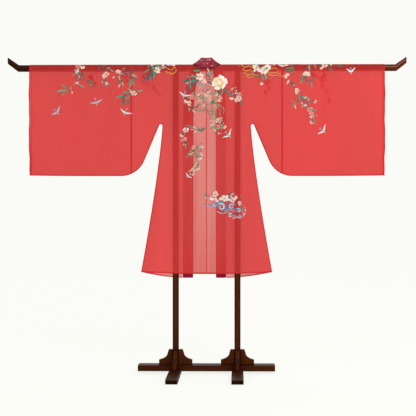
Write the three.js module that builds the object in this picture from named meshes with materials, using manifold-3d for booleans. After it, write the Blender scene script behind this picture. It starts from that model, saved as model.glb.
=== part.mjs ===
// An open-front, wide-sleeved robe of sheer cloth (hanfu), hung over the crossbar of a wooden robe stand.
// Millimetres, +Z up, the floor at z = 0. The robe's back faces -Y and its front faces +Y, so the wearer's
// right is at +X. The crossbar runs through both sleeves and the posts stand between back and front.
import * as THREE from "three";
import { ConvexGeometry } from "three/addons/geometries/ConvexGeometry.js";
import { mergeVertices } from "three/addons/utils/BufferGeometryUtils.js";
import Module from "manifold-3d";

// ---------------------------------------------------------------- driving dimensions
const SEAM_GAP = 0.3; // between pieces that are sewn or seated together

const BAR = {
  top: 1754,
  height: 36,
  depth: 30,
  edge: 7, // radius of its long edges
  bead: { half: 3.4, rise: 2, drop: 3.5 }, // raised line along each face, a little above the middle
  bend: 1075, // centre to the bend of the upturned ends
  mitre: 8, // the bend lies this much further in at the top than at the bottom
  tip: 1134,
  lift: 43, // how far the ends rise
};

const POST = { x: 176, width: 34.5, depth: 26, chamfer: 5 };
const BEAM = { length: 778, height: 33, depth: 62, bottom: 14, chamfer: 2 };
const FOOT = { width: 66, height: 29.5, length: 512, bevel: 8, bevelDrop: 4 };
const BRACKET = { reach: 77, top: 133, shoulder: 74.5, shelf: 22, thickness: 22, cove: 0.96 };

const CLOTH = 1.2; // wall of the sheer cloth
const ROBE = {
  span: 1012, // centre back to cuff
  sleeveSeam: 430, // centre back to where the sleeve is joined on
  sleeveBottom: 1121,
  underArc: { x: 488, radius: 143 }, // rounded lower corner of the sleeve
  armpit: { x: 262, z: 1417, half: 10 }, // top of the slot between sleeve and side
  sideTop: 252, // half width just under the armpit
  hemHalf: 374, // half width at the hem
  flare: 1.25, // how late the side seam flares out
  cornerZ: 573, // hem height at the side seams
  backHemDrop: 13, // the back hem hangs this much lower at the centre
  frontHemDrop: 34, // and the front hem this much lower at the opening
};
const NECK = { half: 83, dipZ: 1730 }; // neckline half width, and its height at centre back
const COLLAR = { width: 60, thickness: 2.4, bulge: 2, neckGap: 0.9, standOff: 1.1 };

// Soft ridges (positive depth) and troughs in the cloth, which run from the bar down towards the hem.
// topX and lowX are distances from the centre line, half is the half width of the fold.
const FOLD_COLUMNS = ["topX", "lowX", "half", "depth", "topZ", "lowZ"];
const FOLDS = {
  back_right: [
    [62, 78, 26, 4.5, 1690, 520],
    [128, 138, 18, -2.5, 1640, 700],
    [232, 290, 24, 4.0, 1380, 540],
    [300, 318, 22, 3.5, 1700, 1240],
    [372, 366, 20, 4.5, 1690, 1250],
    [470, 476, 20, 5.0, 1690, 1130],
    [548, 560, 22, -4.0, 1660, 1200],
    [620, 628, 24, 6.0, 1690, 1130],
    [696, 700, 18, -5.0, 1690, 1220],
    [762, 756, 24, 6.5, 1690, 1140],
    [852, 862, 30, 5.0, 1690, 1130],
    [936, 930, 18, -4.0, 1650, 1180],
    [990, 994, 20, 4.0, 1700, 1130],
  ],
  back_left: [
    [48, 60, 24, 4.0, 1690, 520],
    [120, 112, 20, -2.5, 1640, 640],
    [226, 300, 26, 4.5, 1370, 540],
    [308, 322, 20, 3.5, 1700, 1260],
    [384, 380, 22, 4.5, 1690, 1230],
    [486, 480, 22, 5.0, 1690, 1130],
    [566, 580, 22, -4.5, 1690, 1180],
    [640, 636, 22, 5.5, 1690, 1130],
    [734, 742, 20, -5.5, 1690, 1160],
    [800, 806, 26, 6.5, 1690, 1130],
    [890, 884, 26, 4.5, 1660, 1140],
    [968, 972, 22, 4.5, 1700, 1130],
  ],
  front_right: [
    [146, 152, 16, -2.0, 1600, 640],
    [226, 262, 24, 4.0, 1380, 540],
    [292, 330, 24, 4.0, 1200, 540],
    [330, 340, 24, 4.0, 1690, 1250],
    [452, 446, 24, 5.0, 1690, 1130],
    [530, 540, 20, -4.0, 1660, 1180],
    [606, 600, 24, 6.0, 1690, 1130],
    [700, 712, 28, 5.5, 1690, 1130],
    [790, 780, 20, -4.5, 1690, 1200],
    [870, 880, 26, 6.0, 1690, 1130],
    [956, 950, 22, 4.5, 1680, 1130],
  ],
  front_left: [
    [140, 146, 16, -2.0, 1600, 700],
    [222, 256, 26, 4.5, 1380, 540],
    [286, 318, 22, 3.5, 1200, 540],
    [344, 338, 24, 4.0, 1690, 1250],
    [462, 470, 22, 5.5, 1690, 1130],
    [544, 536, 22, -4.0, 1690, 1190],
    [630, 640, 26, 5.5, 1690, 1130],
    [716, 708, 20, -4.0, 1640, 1150],
    [788, 796, 28, 6.0, 1690, 1130],
    [886, 880, 24, 5.0, 1690, 1130],
    [976, 980, 20, 4.0, 1680, 1130],
  ],
};

// ---------------------------------------------------------------- small helpers
const mix = (a, b, t) => a + (b - a) * t;
const clamp01 = (t) => Math.min(1, Math.max(0, t));
const smooth = (t) => {
  const c = clamp01(t);
  return c * c * (3 - 2 * c);
};
const radians = (degrees) => (degrees * Math.PI) / 180;

const COLOURS = { cloth: 0xdb4c48, collar: 0x941434, wood: 0x45200f };
const clothMaterial = () =>
  new THREE.MeshStandardMaterial({ color: COLOURS.cloth, roughness: 0.6, metalness: 0 });
const collarMaterial = () =>
  new THREE.MeshStandardMaterial({ color: COLOURS.collar, roughness: 0.5, metalness: 0 });
const woodMaterial = () =>
  new THREE.MeshStandardMaterial({ color: COLOURS.wood, roughness: 0.38, metalness: 0 });

const part = new THREE.Group();

function addMesh(name, geometry, material, parent = part) {
  const mesh = new THREE.Mesh(geometry, material);
  mesh.name = name;
  parent.add(mesh);
  return mesh;
}

// A thin sheet of joined patches, which wall() turns into a closed solid of even thickness.
class Sheet {
  constructor() {
    this.points = [];
    this.faces = [];
    this.index = new Map();
  }

  vertex(p) {
    const key = p.map((v) => Math.round(v * 1000)).join(",");
    if (!this.index.has(key)) {
      this.index.set(key, this.points.length);
      this.points.push(p);
    }
    return this.index.get(key);
  }

  face(a, b, c) {
    if (a !== b && b !== c && c !== a) this.faces.push([a, b, c]);
  }

  // rows of equal length; seen from outside, columns run to the right and rows run upwards
  patch(rows) {
    const ids = rows.map((row) => row.map((p) => this.vertex(p)));
    for (let i = 0; i + 1 < ids.length; i++)
      for (let j = 0; j + 1 < ids[i].length; j++) {
        this.face(ids[i][j], ids[i][j + 1], ids[i + 1][j + 1]);
        this.face(ids[i][j], ids[i + 1][j + 1], ids[i + 1][j]);
      }
  }

  mirrored() {
    const other = new Sheet();
    other.points = this.points.map(([x, y, z]) => [-x, y, z]);
    other.faces = this.faces.map(([a, b, c]) => [a, c, b]);
    return other;
  }

  normals() {
    const sums = this.points.map(() => new THREE.Vector3());
    const at = (i) => new THREE.Vector3(...this.points[i]);
    for (const [a, b, c] of this.faces) {
      const pa = at(a);
      const n = at(b).sub(pa).cross(at(c).sub(pa));
      for (const i of [a, b, c]) sums[i].add(n);
    }
    return sums.map((n) => n.normalize());
  }

  wall(thickness) {
    const normals = this.normals();
    const count = this.points.length;
    const positions = [];
    for (const side of [0.5, -0.5])
      this.points.forEach((p, i) => {
        const n = normals[i];
        const [dx, dy, dz] = n.toArray().map((v) => v * thickness * side);
        positions.push(p[0] + dx, p[1] + dy, p[2] + dz);
      });
    const index = [];
    const edges = new Set();
    for (const [a, b, c] of this.faces) {
      index.push(a, b, c, count + a, count + c, count + b);
      for (const [p, q] of [[a, b], [b, c], [c, a]]) edges.add(p + "," + q);
    }
    for (const edge of edges) {
      const [p, q] = edge.split(",").map(Number);
      if (edges.has(q + "," + p)) continue;
      index.push(q, p, count + p, q, count + p, count + q);
    }
    const geometry = new THREE.BufferGeometry();
    geometry.setAttribute("position", new THREE.Float32BufferAttribute(positions, 3));
    geometry.setIndex(index);
    geometry.computeVertexNormals();
    return geometry;
  }
}

// ---------------------------------------------------------------- the robe's outline
const ARMPIT_ROW = ROBE.armpit.z - ROBE.armpit.half;

const sideX = (z) =>
  ROBE.sideTop +
  (ROBE.hemHalf - ROBE.sideTop) * clamp01((ARMPIT_ROW - z) / (ARMPIT_ROW - ROBE.cornerZ)) ** ROBE.flare;

// Under edge of the sleeve: straight down from the armpit, a round corner, then level to the cuff.
const underEdge = (() => {
  const { x: arcX, radius } = ROBE.underArc;
  const start = new THREE.Vector2(ROBE.armpit.x + ROBE.armpit.half, ARMPIT_ROW);
  const centre = new THREE.Vector2(arcX, ROBE.sleeveBottom + radius);
  const toCentre = centre.clone().sub(start);
  const angle = toCentre.angle() - Math.asin(radius / toCentre.length());
  const tangent = Math.sqrt(toCentre.lengthSq() - radius * radius);
  const meet = new THREE.Vector2(Math.cos(angle), Math.sin(angle)).multiplyScalar(tangent).add(start);
  return { start, centre, meet, radius };
})();

function underZ(x) {
  const { start, centre, meet, radius } = underEdge;
  if (x <= meet.x) return mix(start.y, meet.y, (x - start.x) / (meet.x - start.x));
  if (x >= centre.x) return ROBE.sleeveBottom;
  return centre.y - Math.sqrt(radius * radius - (x - centre.x) ** 2);
}

// The sewn edge where back and front meet, as one line: cuff, sleeve bottom, armpit, side seam, hem corner.
const seamLine = (() => {
  const line = [new THREE.Vector2(ROBE.span + 40, ROBE.sleeveBottom)];
  const arcSteps = 8;
  for (let i = 0; i <= arcSteps; i++) {
    const x = mix(underEdge.centre.x, underEdge.meet.x, i / arcSteps);
    line.push(new THREE.Vector2(x, underZ(x)));
  }
  line.push(underEdge.start.clone());
  line.push(new THREE.Vector2(ROBE.armpit.x, ROBE.armpit.z));
  const sideSteps = 8;
  for (let i = 0; i <= sideSteps; i++) {
    const z = mix(ARMPIT_ROW, ROBE.cornerZ - 40, i / sideSteps);
    line.push(new THREE.Vector2(sideX(z), z));
  }
  return line;
})();

function seamDistance(x, z) {
  const p = new THREE.Vector2(x, z);
  let best = Infinity;
  for (let i = 0; i + 1 < seamLine.length; i++) {
    const along = seamLine[i + 1].clone().sub(seamLine[i]);
    const t = clamp01(p.clone().sub(seamLine[i]).dot(along) / along.lengthSq());
    best = Math.min(best, p.distanceTo(seamLine[i].clone().addScaledVector(along, t)));
  }
  return best;
}

// ---------------------------------------------------------------- how the cloth hangs
const BAR_OFF = BAR.depth / 2 + SEAM_GAP + CLOTH / 2; // middle of the wall to the bar's middle
const SEWN_OFF = SEAM_GAP / 2 + CLOTH / 2; // and at a sewn edge
const HANG = { tight: 4, far: 300 }; // a loop of hanging cloth opens quickly above its seam, then slowly
const POST_EASE = { near: 28, far: 77, clear: 1.0 };
const FOLD_EASE = 60; // folds die away this close to a sewn edge

function foldDepth(folds, x, z) {
  let sum = 0;
  for (const row of folds) {
    const fold = Object.fromEntries(FOLD_COLUMNS.map((name, i) => [name, row[i]]));
    const down = clamp01((fold.topZ - z) / (fold.topZ - fold.lowZ));
    const away = (x - mix(fold.topX, fold.lowX, down)) / fold.half;
    const ends = smooth((fold.topZ - z) / 130) * smooth((z - fold.lowZ + 90) / 90);
    sum += fold.depth * Math.exp(-away * away) * ends;
  }
  return sum;
}

// Distance of the wall's middle from the plane of the bar, for one layer.
function layerDepth(folds, x, z) {
  const d = seamDistance(x, z);
  const open = clamp01(Math.log(1 + d / HANG.tight) / Math.log(1 + HANG.far / HANG.tight));
  const hanging = mix(SEWN_OFF, BAR_OFF, open);
  const fromPost = Math.abs(x - POST.x);
  const held = 1 - clamp01((fromPost - POST_EASE.near) / (POST_EASE.far - POST_EASE.near));
  const overPost = (POST.depth / 2 + POST_EASE.clear + CLOTH / 2) * held;
  return Math.max(hanging + foldDepth(folds, x, z) * smooth(d / FOLD_EASE), overPost);
}

// The way over the bar, from the dip of the back neckline up to the shoulder line on top of the bar.
const ARC_R = BAR.edge - 2 + SEAM_GAP + CLOTH / 2;
const TOP_Z = BAR.top + SEAM_GAP + CLOTH / 2;
const RISE = TOP_Z - ARC_R - NECK.dipZ;
const ARC = (ARC_R * Math.PI) / 2;
const OVER = RISE + ARC + (BAR_OFF - ARC_R);

function overBar(q) {
  if (q <= RISE) return { off: BAR_OFF, z: NECK.dipZ + q };
  if (q <= RISE + ARC) {
    const a = (q - RISE) / ARC_R;
    return { off: BAR_OFF - ARC_R * (1 - Math.cos(a)), z: TOP_Z - ARC_R * (1 - Math.sin(a)) };
  }
  return { off: OVER - q, z: TOP_Z };
}

const YOKE_ROWS = [1490, 1580, 1660, 1712]; // heights of the rows between armpit and neckline
const OVER_ROWS = [0, 20, 38, 52, 64, 76, 90]; // degrees round the quarter ellipse of the back neckline
const overQ = (degrees) => OVER * (1 - Math.cos(radians(degrees)));

// Seam between front and collar: its distance from the centre at each height. The left front hangs wider.
const FRONT_EDGE = [
  { z: TOP_Z, right: NECK.half, left: NECK.half },
  { z: NECK.dipZ, right: 92, left: 96 },
  { z: 1712, right: 95, left: 102 },
  { z: 1660, right: 103, left: 118 },
  { z: 1580, right: 110, left: 131 },
  { z: 1490, right: 112, left: 136 },
  { z: 0, right: 112, left: 138 },
];
function frontEdgeX(side, z) {
  const i = FRONT_EDGE.findIndex((row, k) => k > 0 && z >= row.z);
  const [a, b] = [FRONT_EDGE[i - 1], FRONT_EDGE[i]];
  return mix(a[side], b[side], (a.z - z) / (a.z - b.z));
}
const frontOverX = (side, q) => mix(frontEdgeX(side, NECK.dipZ), NECK.half, clamp01(q / OVER) ** 0.8);

const BODY_COLUMNS = 12;
const SLEEVE_TOP_COLUMNS = 7;
const SKIRT_ROWS = 7;
const DROP_ROWS = 6;
const SLEEVE_COLUMNS = 24;

const steps = (n) => Array.from({ length: n + 1 }, (_, i) => i / n);
const layerPoint = (facing, folds, x, z) => [x, facing * layerDepth(folds, x, z), z];

// Columns of the yoke: across the body, over the armpit point, then along the first part of the sleeve.
function yokeColumns(innerX, outerX) {
  const body = steps(BODY_COLUMNS).map((u) => mix(innerX, ROBE.sideTop, u));
  const start = underEdge.start.x;
  const sleeve = steps(SLEEVE_TOP_COLUMNS).map((u) => mix(start, outerX, u));
  return [...body, ROBE.armpit.x, ...sleeve];
}

// One layer of a body panel, from its hem to the last row before the bar: facing -1 is back, 1 is front.
function bodyLayer(facing, folds, innerX, hemDrop) {
  const outer = ROBE.sleeveSeam;
  const skirt = steps(SKIRT_ROWS).map((v) => {
    const level = mix(ROBE.cornerZ, ARMPIT_ROW, v);
    return steps(BODY_COLUMNS).map((u) => {
      const hem = ROBE.cornerZ - hemDrop * (1 - u ** 1.8);
      const z = mix(hem, ARMPIT_ROW, v);
      return layerPoint(facing, folds, mix(innerX(z), sideX(level), u), z);
    });
  });
  const drop = steps(DROP_ROWS).map((v) =>
    steps(SLEEVE_TOP_COLUMNS).map((u) => {
      const x = mix(underEdge.start.x, outer, u);
      return layerPoint(facing, folds, x, mix(underZ(x), ARMPIT_ROW, v));
    }),
  );
  const first = yokeColumns(innerX(ARMPIT_ROW), outer).map((x) =>
    layerPoint(facing, folds, x, x === ROBE.armpit.x ? ROBE.armpit.z : ARMPIT_ROW),
  );
  const yoke = [first];
  for (const z of YOKE_ROWS) {
    yoke.push(yokeColumns(innerX(z), outer).map((x) => layerPoint(facing, folds, x, z)));
  }
  return { skirt, drop, yoke };
}

// Rows that cross the bar on one side, from the neckline's height to the shoulder line.
function overRows(facing, innerAt, columns) {
  return OVER_ROWS.map((degrees) => {
    const q = overQ(degrees);
    const { off, z } = overBar(q);
    return columns(innerAt(degrees, q)).map((x) => [x, facing * off, z]);
  });
}

function bodySheet(side) {
  const [backFolds, frontFolds] = [FOLDS["back_" + side], FOLDS["front_" + side]];
  const sheet = new Sheet();
  const centre = SEAM_GAP / 2;
  const outer = ROBE.sleeveSeam;
  const back = bodyLayer(-1, backFolds, () => centre, ROBE.backHemDrop);
  const front = bodyLayer(1, frontFolds, (z) => frontEdgeX(side, z) + SEAM_GAP, ROBE.frontHemDrop);
  const columns = (innerX) => yokeColumns(innerX, outer);
  const neckX = (degrees) => Math.max(centre, NECK.half * Math.sin(radians(degrees)));
  const overBack = overRows(-1, neckX, columns);
  const overFront = overRows(1, (_, q) => frontOverX(side, q) + SEAM_GAP, columns);
  // the two sides share the shoulder line
  overFront[overFront.length - 1] = overBack[overBack.length - 1];
  sheet.patch(back.skirt);
  sheet.patch(back.drop);
  sheet.patch([...back.yoke, ...overBack]);
  sheet.patch([...overFront.reverse(), ...front.yoke.reverse()]);
  sheet.patch(front.skirt.reverse());
  sheet.patch(front.drop.reverse());
  return sheet;
}

function sleeveSheet(side) {
  const sheet = new Sheet();
  const inner = ROBE.sleeveSeam + SEAM_GAP;
  const xs = steps(SLEEVE_COLUMNS).map((u) => mix(inner, ROBE.span, u));
  const layer = (facing, folds) => [
    ...steps(DROP_ROWS).map((v) =>
      xs.map((x) => layerPoint(facing, folds, x, mix(underZ(x), ARMPIT_ROW, v))),
    ),
    ...YOKE_ROWS.map((z) => xs.map((x) => layerPoint(facing, folds, x, z))),
  ];
  const over = (facing) => overRows(facing, () => inner, () => xs);
  sheet.patch([...layer(-1, FOLDS["back_" + side]), ...over(-1)]);
  sheet.patch([...over(1).reverse(), ...layer(1, FOLDS["front_" + side]).reverse()]);
  return sheet;
}

// ---------------------------------------------------------------- the collar band
// Way the band points from its sewn edge to its free edge, at each row of the neckline and the front edge.
const BACK_LEAN = [
  { degrees: 0, dir: [0, 0.07, 1] },
  { degrees: 20, dir: [-0.12, 0.07, 0.99] },
  { degrees: 38, dir: [-0.36, 0.12, 0.92] },
  { degrees: 52, dir: [-0.55, 0.25, 0.79] },
  { degrees: 64, dir: [-0.66, 0.36, 0.66] },
  { degrees: 76, dir: [-0.74, 0.42, 0.53] },
  { degrees: 90, dir: [-0.8, 0.45, 0.4] },
];
const FRONT_LEAN = [
  { degrees: 76, dir: [-0.85, 0.45, 0.26] },
  { degrees: 64, dir: [-0.88, 0.42, 0.16] },
  { degrees: 52, dir: [-0.91, 0.38, 0.08] },
  { degrees: 38, dir: [-0.93, 0.35, 0.03] },
  { degrees: 20, dir: [-0.94, 0.32, 0] },
  { degrees: 0, dir: [-0.95, 0.3, -0.01] },
];
const DOWN_LEAN = [
  { z: 1712, dir: [-0.97, 0.22, 0] },
  { z: 1660, dir: [-0.985, 0.12, 0] },
  { z: 1580, dir: [-1, 0.03, 0] },
  { z: 1490, dir: [-1, 0, 0] },
];
const BAND_ROWS = 8; // down the straight front

function collarSheet() {
  // one half: sections from centre back round to the hem, each with a sewn, a middle and a free point
  const half = (side) => {
    const folds = FOLDS["front_" + side];
    const section = (sewn, dir, bulge) => {
      const way = new THREE.Vector3(...dir).normalize();
      const from = new THREE.Vector3(...sewn);
      const free = from.clone().addScaledVector(way, COLLAR.width);
      const middle = from.clone().lerp(free, 0.5);
      const outward = new THREE.Vector3(0, -1, 0).addScaledVector(way, way.y).normalize();
      middle.addScaledVector(outward, bulge);
      return [sewn, middle.toArray(), free.toArray()];
    };
    const rows = [];
    for (const { degrees, dir } of BACK_LEAN) {
      const a = radians(degrees);
      const { off, z } = overBar(overQ(degrees));
      const inward = COLLAR.neckGap * Math.sin(a);
      const up = COLLAR.neckGap * Math.cos(a) + 0.5 * Math.sin(a);
      const x = Math.max(0, NECK.half * Math.sin(a) - inward);
      rows.push(section([x, -off - COLLAR.standOff * Math.cos(a), z + up], dir, COLLAR.bulge));
    }
    for (const { degrees, dir } of FRONT_LEAN) {
      const q = overQ(degrees);
      const { off, z } = overBar(q);
      const level = q / OVER;
      const x = frontOverX(side, q) - COLLAR.neckGap * level;
      const fade = COLLAR.bulge * level;
      rows.push(section([x, off + COLLAR.standOff * (1 - level), z + 0.5 * level], dir, -fade));
    }
    const down = (z, dir) => {
      const x = frontEdgeX(side, z);
      const near = layerDepth(folds, x + SEAM_GAP, z);
      const ease = COLLAR.standOff * smooth((z - 1600) / 130);
      rows.push(section([x, near + ease, z], dir, 0));
    };
    for (const { z, dir } of DOWN_LEAN) down(z, dir);
    const bottom = ROBE.cornerZ - ROBE.frontHemDrop;
    for (const t of steps(BAND_ROWS)) down(mix(1407, bottom, t), [-1, 0, 0]);
    return rows;
  };
  const right = half("right");
  const left = half("left").map((row) => row.map(([x, y, z]) => [-x, y, z]));
  const sheet = new Sheet();
  sheet.patch([...left.slice(1).reverse(), ...right]);
  return sheet;
}

// ---------------------------------------------------------------- the stand
// Rounded section of the crossbar with a bead on each face, as [y, z] about the bar's middle.
function barSection() {
  const { depth, height, edge, bead } = BAR;
  const halfDepth = depth / 2 - bead.rise;
  const halfHeight = height / 2;
  const quarter = [];
  const corner = (cy, cz, from) => {
    for (const t of steps(3)) {
      const a = radians(from + 90 * t);
      quarter.push([cy + edge * Math.cos(a), cz + edge * Math.sin(a)]);
    }
  };
  const beadOn = (side) => {
    const mid = bead.drop;
    const points = [
      [side * halfDepth, mid - bead.half],
      [side * (halfDepth + bead.rise), mid - bead.half * 0.45],
      [side * (halfDepth + bead.rise), mid + bead.half * 0.45],
      [side * halfDepth, mid + bead.half],
    ];
    quarter.push(...(side > 0 ? points : points.reverse()));
  };
  const y = halfDepth - edge;
  const z = halfHeight - edge;
  beadOn(1);
  corner(y, z, 0);
  corner(-y, z, 90);
  beadOn(-1);
  corner(-y, -z, 180);
  corner(y, -z, 270);
  return quarter;
}

// A closed solid through rings of equal length, with a fan at each end.
function loft(rings) {
  const count = rings[0].length;
  const positions = rings.flat(2);
  const index = [];
  for (let i = 0; i + 1 < rings.length; i++)
    for (let j = 0; j < count; j++) {
      const a = i * count + j;
      const b = i * count + ((j + 1) % count);
      index.push(a, b, b + count, a, b + count, a + count);
    }
  const cap = (ring, base, flip) => {
    const centre = [0, 1, 2].map((k) => ring.reduce((s, p) => s + p[k], 0) / count);
    positions.push(...centre);
    const c = positions.length / 3 - 1;
    for (let j = 0; j < count; j++) {
      const k = (j + 1) % count;
      if (flip) index.push(c, base + k, base + j);
      else index.push(c, base + j, base + k);
    }
  };
  cap(rings[0], 0, true);
  cap(rings[rings.length - 1], (rings.length - 1) * count, false);
  const geometry = new THREE.BufferGeometry();
  geometry.setAttribute("position", new THREE.Float32BufferAttribute(positions, 3));
  geometry.setIndex(index);
  geometry.computeVertexNormals();
  return geometry;
}

function crossbar() {
  const middle = BAR.top - BAR.height / 2;
  const section = barSection();
  const ring = (x, lift, slant) =>
    section.map(([y, z]) => [x - (Math.sign(x) * slant * z) / BAR.height, y, middle + z + lift]);
  return loft([
    ring(-BAR.tip, BAR.lift, 0),
    ring(-BAR.bend, 0, BAR.mitre),
    ring(BAR.bend, 0, BAR.mitre),
    ring(BAR.tip, BAR.lift, 0),
  ]);
}

function chamferedRectangle(width, height, cut) {
  const [w, h] = [width / 2, height / 2];
  const corners = [
    [w - cut, -h], [w, -h + cut], [w, h - cut], [w - cut, h],
    [-w + cut, h], [-w, h - cut], [-w, -h + cut], [-w + cut, -h],
  ];
  return new THREE.Shape(corners.map(([x, y]) => new THREE.Vector2(x, y)));
}

const extrude = (shape, depth, curveSegments = 6) =>
  new THREE.ExtrudeGeometry(shape, { depth, bevelEnabled: false, curveSegments });

const wasm = await Module();
wasm.setup();

function solidOf(geometry) {
  const bare = geometry.clone();
  bare.deleteAttribute("normal");
  bare.deleteAttribute("uv");
  const merged = mergeVertices(bare);
  const triVerts = new Uint32Array(merged.index.array);
  const vertProperties = merged.attributes.position.array;
  return new wasm.Manifold(new wasm.Mesh({ numProp: 3, vertProperties, triVerts }));
}

function cutFrom(geometry, tool) {
  const mesh = solidOf(geometry).subtract(solidOf(tool)).getMesh();
  const result = new THREE.BufferGeometry();
  result.setAttribute("position", new THREE.Float32BufferAttribute(mesh.vertProperties, 3));
  result.setIndex([...mesh.triVerts]);
  result.computeVertexNormals();
  return result;
}

// A block with a bevelled top, and the halving joint across it that takes the beam.
function footGeometry() {
  const { width, height, length, bevel, bevelDrop } = FOOT;
  const corners = [];
  for (const x of [-1, 1])
    for (const y of [-1, 1]) {
      const [cornerX, cornerY] = [(x * width) / 2, (y * length) / 2];
      corners.push(new THREE.Vector3(cornerX, cornerY, 0));
      corners.push(new THREE.Vector3(cornerX, cornerY, height - bevelDrop));
      corners.push(new THREE.Vector3(cornerX - x * bevel, cornerY - y * bevel, height));
    }
  const floor = BEAM.bottom - SEAM_GAP;
  const slot = new THREE.BoxGeometry(width * 2, BEAM.depth + 2 * SEAM_GAP, height);
  slot.translate(0, 0, floor + height / 2);
  return cutFrom(new ConvexGeometry(corners), slot);
}

// Outline of a bracket, [distance from the post, height]: a shelf at the foot end, a cove up to its top.
function bracketOutline(postHalf, steppedAt) {
  const { reach, top, shoulder, shelf, cove } = BRACKET;
  const start = postHalf + SEAM_GAP;
  const beamTop = BEAM.bottom + BEAM.height + SEAM_GAP;
  const shape = new THREE.Shape();
  shape.moveTo(start, beamTop);
  if (steppedAt) {
    const footTop = FOOT.height + SEAM_GAP;
    shape.lineTo(steppedAt, beamTop);
    shape.lineTo(steppedAt, footTop);
    shape.lineTo(start + reach, footTop);
  } else {
    shape.lineTo(start + reach, beamTop);
  }
  shape.lineTo(start + reach, shoulder);
  const innerX = start + shelf + 7;
  shape.quadraticCurveTo(mix(innerX, start + reach, 1 - cove), mix(top, shoulder, 0.82), innerX, top - 22);
  shape.lineTo(start + shelf, top);
  shape.lineTo(start, top);
  return shape;
}

function addStand() {
  const beamTop = BEAM.bottom + BEAM.height;
  addMesh("crossbar", crossbar(), woodMaterial());

  const beam = addMesh(
    "base_beam",
    extrude(chamferedRectangle(BEAM.height, BEAM.depth, BEAM.chamfer), BEAM.length),
    woodMaterial(),
  );
  // the outline's x becomes height and its y becomes depth
  beam.rotation.set(0, -Math.PI / 2, 0);
  beam.position.set(BEAM.length / 2, 0, BEAM.bottom + BEAM.height / 2);

  for (const [side, sign] of [["left", -1], ["right", 1]]) {
    const stand = new THREE.Group();
    stand.position.x = sign * POST.x;
    part.add(stand);

    const postBottom = beamTop + SEAM_GAP;
    const postTop = BAR.top - BAR.height - SEAM_GAP;
    const post = addMesh(
      "post_" + side,
      extrude(chamferedRectangle(POST.width, POST.depth, POST.chamfer), postTop - postBottom),
      woodMaterial(),
      stand,
    );
    post.position.z = postBottom;

    addMesh("foot_" + side, footGeometry(), woodMaterial(), stand);

    const fromPost = [
      { name: "outer", turn: sign > 0 ? 0 : 180, half: POST.width / 2, step: 0 },
      { name: "inner", turn: sign > 0 ? 180 : 0, half: POST.width / 2, step: 0 },
      { name: "front", turn: 90, half: POST.depth / 2, step: BEAM.depth / 2 + SEAM_GAP },
      { name: "back", turn: 270, half: POST.depth / 2, step: BEAM.depth / 2 + SEAM_GAP },
    ];
    for (const { name, turn, half, step } of fromPost) {
      const swing = new THREE.Group();
      swing.rotation.z = radians(turn);
      stand.add(swing);
      const bracket = addMesh(
        "bracket_" + side + "_" + name,
        extrude(bracketOutline(half, step), BRACKET.thickness, 8),
        woodMaterial(),
        swing,
      );
      bracket.rotation.x = Math.PI / 2;
      bracket.position.y = BRACKET.thickness / 2;
    }
  }
}

// ---------------------------------------------------------------- the robe
function addRobe() {
  addMesh("body_right", bodySheet("right").wall(CLOTH), clothMaterial());
  addMesh("body_left", bodySheet("left").mirrored().wall(CLOTH), clothMaterial());
  addMesh("sleeve_right", sleeveSheet("right").wall(CLOTH), clothMaterial());
  addMesh("sleeve_left", sleeveSheet("left").mirrored().wall(CLOTH), clothMaterial());
  addMesh("collar", collarSheet().wall(COLLAR.thickness), collarMaterial());
}

addRobe();
addStand();

export default part;
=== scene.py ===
"""An embroidered robe of sheer red silk, hung with its back to the viewer on a dark wooden robe stand.

The frame gives the solids. This script dresses them: finer hanging cloth with seams and hems, a brocade
collar, satin-stitched sprays of blossom, leaves and birds, and moulded, lacquered wood.
"""

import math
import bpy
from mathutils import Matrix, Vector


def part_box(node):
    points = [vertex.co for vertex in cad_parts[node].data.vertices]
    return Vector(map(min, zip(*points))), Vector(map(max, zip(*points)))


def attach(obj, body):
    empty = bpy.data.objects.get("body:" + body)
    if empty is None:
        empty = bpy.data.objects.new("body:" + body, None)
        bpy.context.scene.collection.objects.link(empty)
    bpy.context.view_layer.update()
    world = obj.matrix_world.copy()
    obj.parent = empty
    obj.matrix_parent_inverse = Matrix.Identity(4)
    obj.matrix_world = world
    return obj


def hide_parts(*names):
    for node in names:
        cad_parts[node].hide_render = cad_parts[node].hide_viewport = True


bl_info = {
    "name": "Hanfu on a robe stand",
    "version": (1, 0, 0),
    "blender": (4, 5, 0),
    "location": "3D View > Sidebar > Hanfu",
    "description": "Sheer embroidered robe, its stand and a plain studio",
    "category": "Object",
}

import bmesh
import bpy
import numpy as np
from mathutils import Vector
from mathutils.bvhtree import BVHTree

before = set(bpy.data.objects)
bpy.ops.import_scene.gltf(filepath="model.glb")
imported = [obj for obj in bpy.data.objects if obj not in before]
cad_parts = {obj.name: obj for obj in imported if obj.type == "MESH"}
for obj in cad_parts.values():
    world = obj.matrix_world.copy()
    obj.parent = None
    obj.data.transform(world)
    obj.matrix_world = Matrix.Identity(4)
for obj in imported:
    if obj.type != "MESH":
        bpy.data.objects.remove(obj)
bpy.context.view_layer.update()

MM = 0.001
SIDES = {"left": -1, "right": 1}
BACK, FRONT = -1, 1


def box_mm(node):
    return [Vector(corner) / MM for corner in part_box(node)]


# ------------------------------------------------------------------ the robe's cut, in mm
SPAN = box_mm("sleeve_right")[1].x
SLEEVE_SEAM = box_mm("body_right")[1].x
SLEEVE_BOTTOM = box_mm("sleeve_right")[0].z
WALL = 1.2  # the solids' cloth
SHOULDER_Z = box_mm("sleeve_right")[1].z - WALL / 2
BAR_DEPTH = box_mm("crossbar")[1].y
SEWN_OFF = 0.75  # half the distance between the layers at a sewn edge
SEAM_GAP = 0.3  # between pieces that are sewn together
BAR_OFF = BAR_DEPTH + 0.9  # the middle of the cloth stands just clear of the bar
POST_X = (box_mm("post_right")[0].x + box_mm("post_right")[1].x) / 2
POST_HALF = box_mm("post_right")[1].x - POST_X
POST_DEPTH = box_mm("post_right")[1].y

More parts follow.
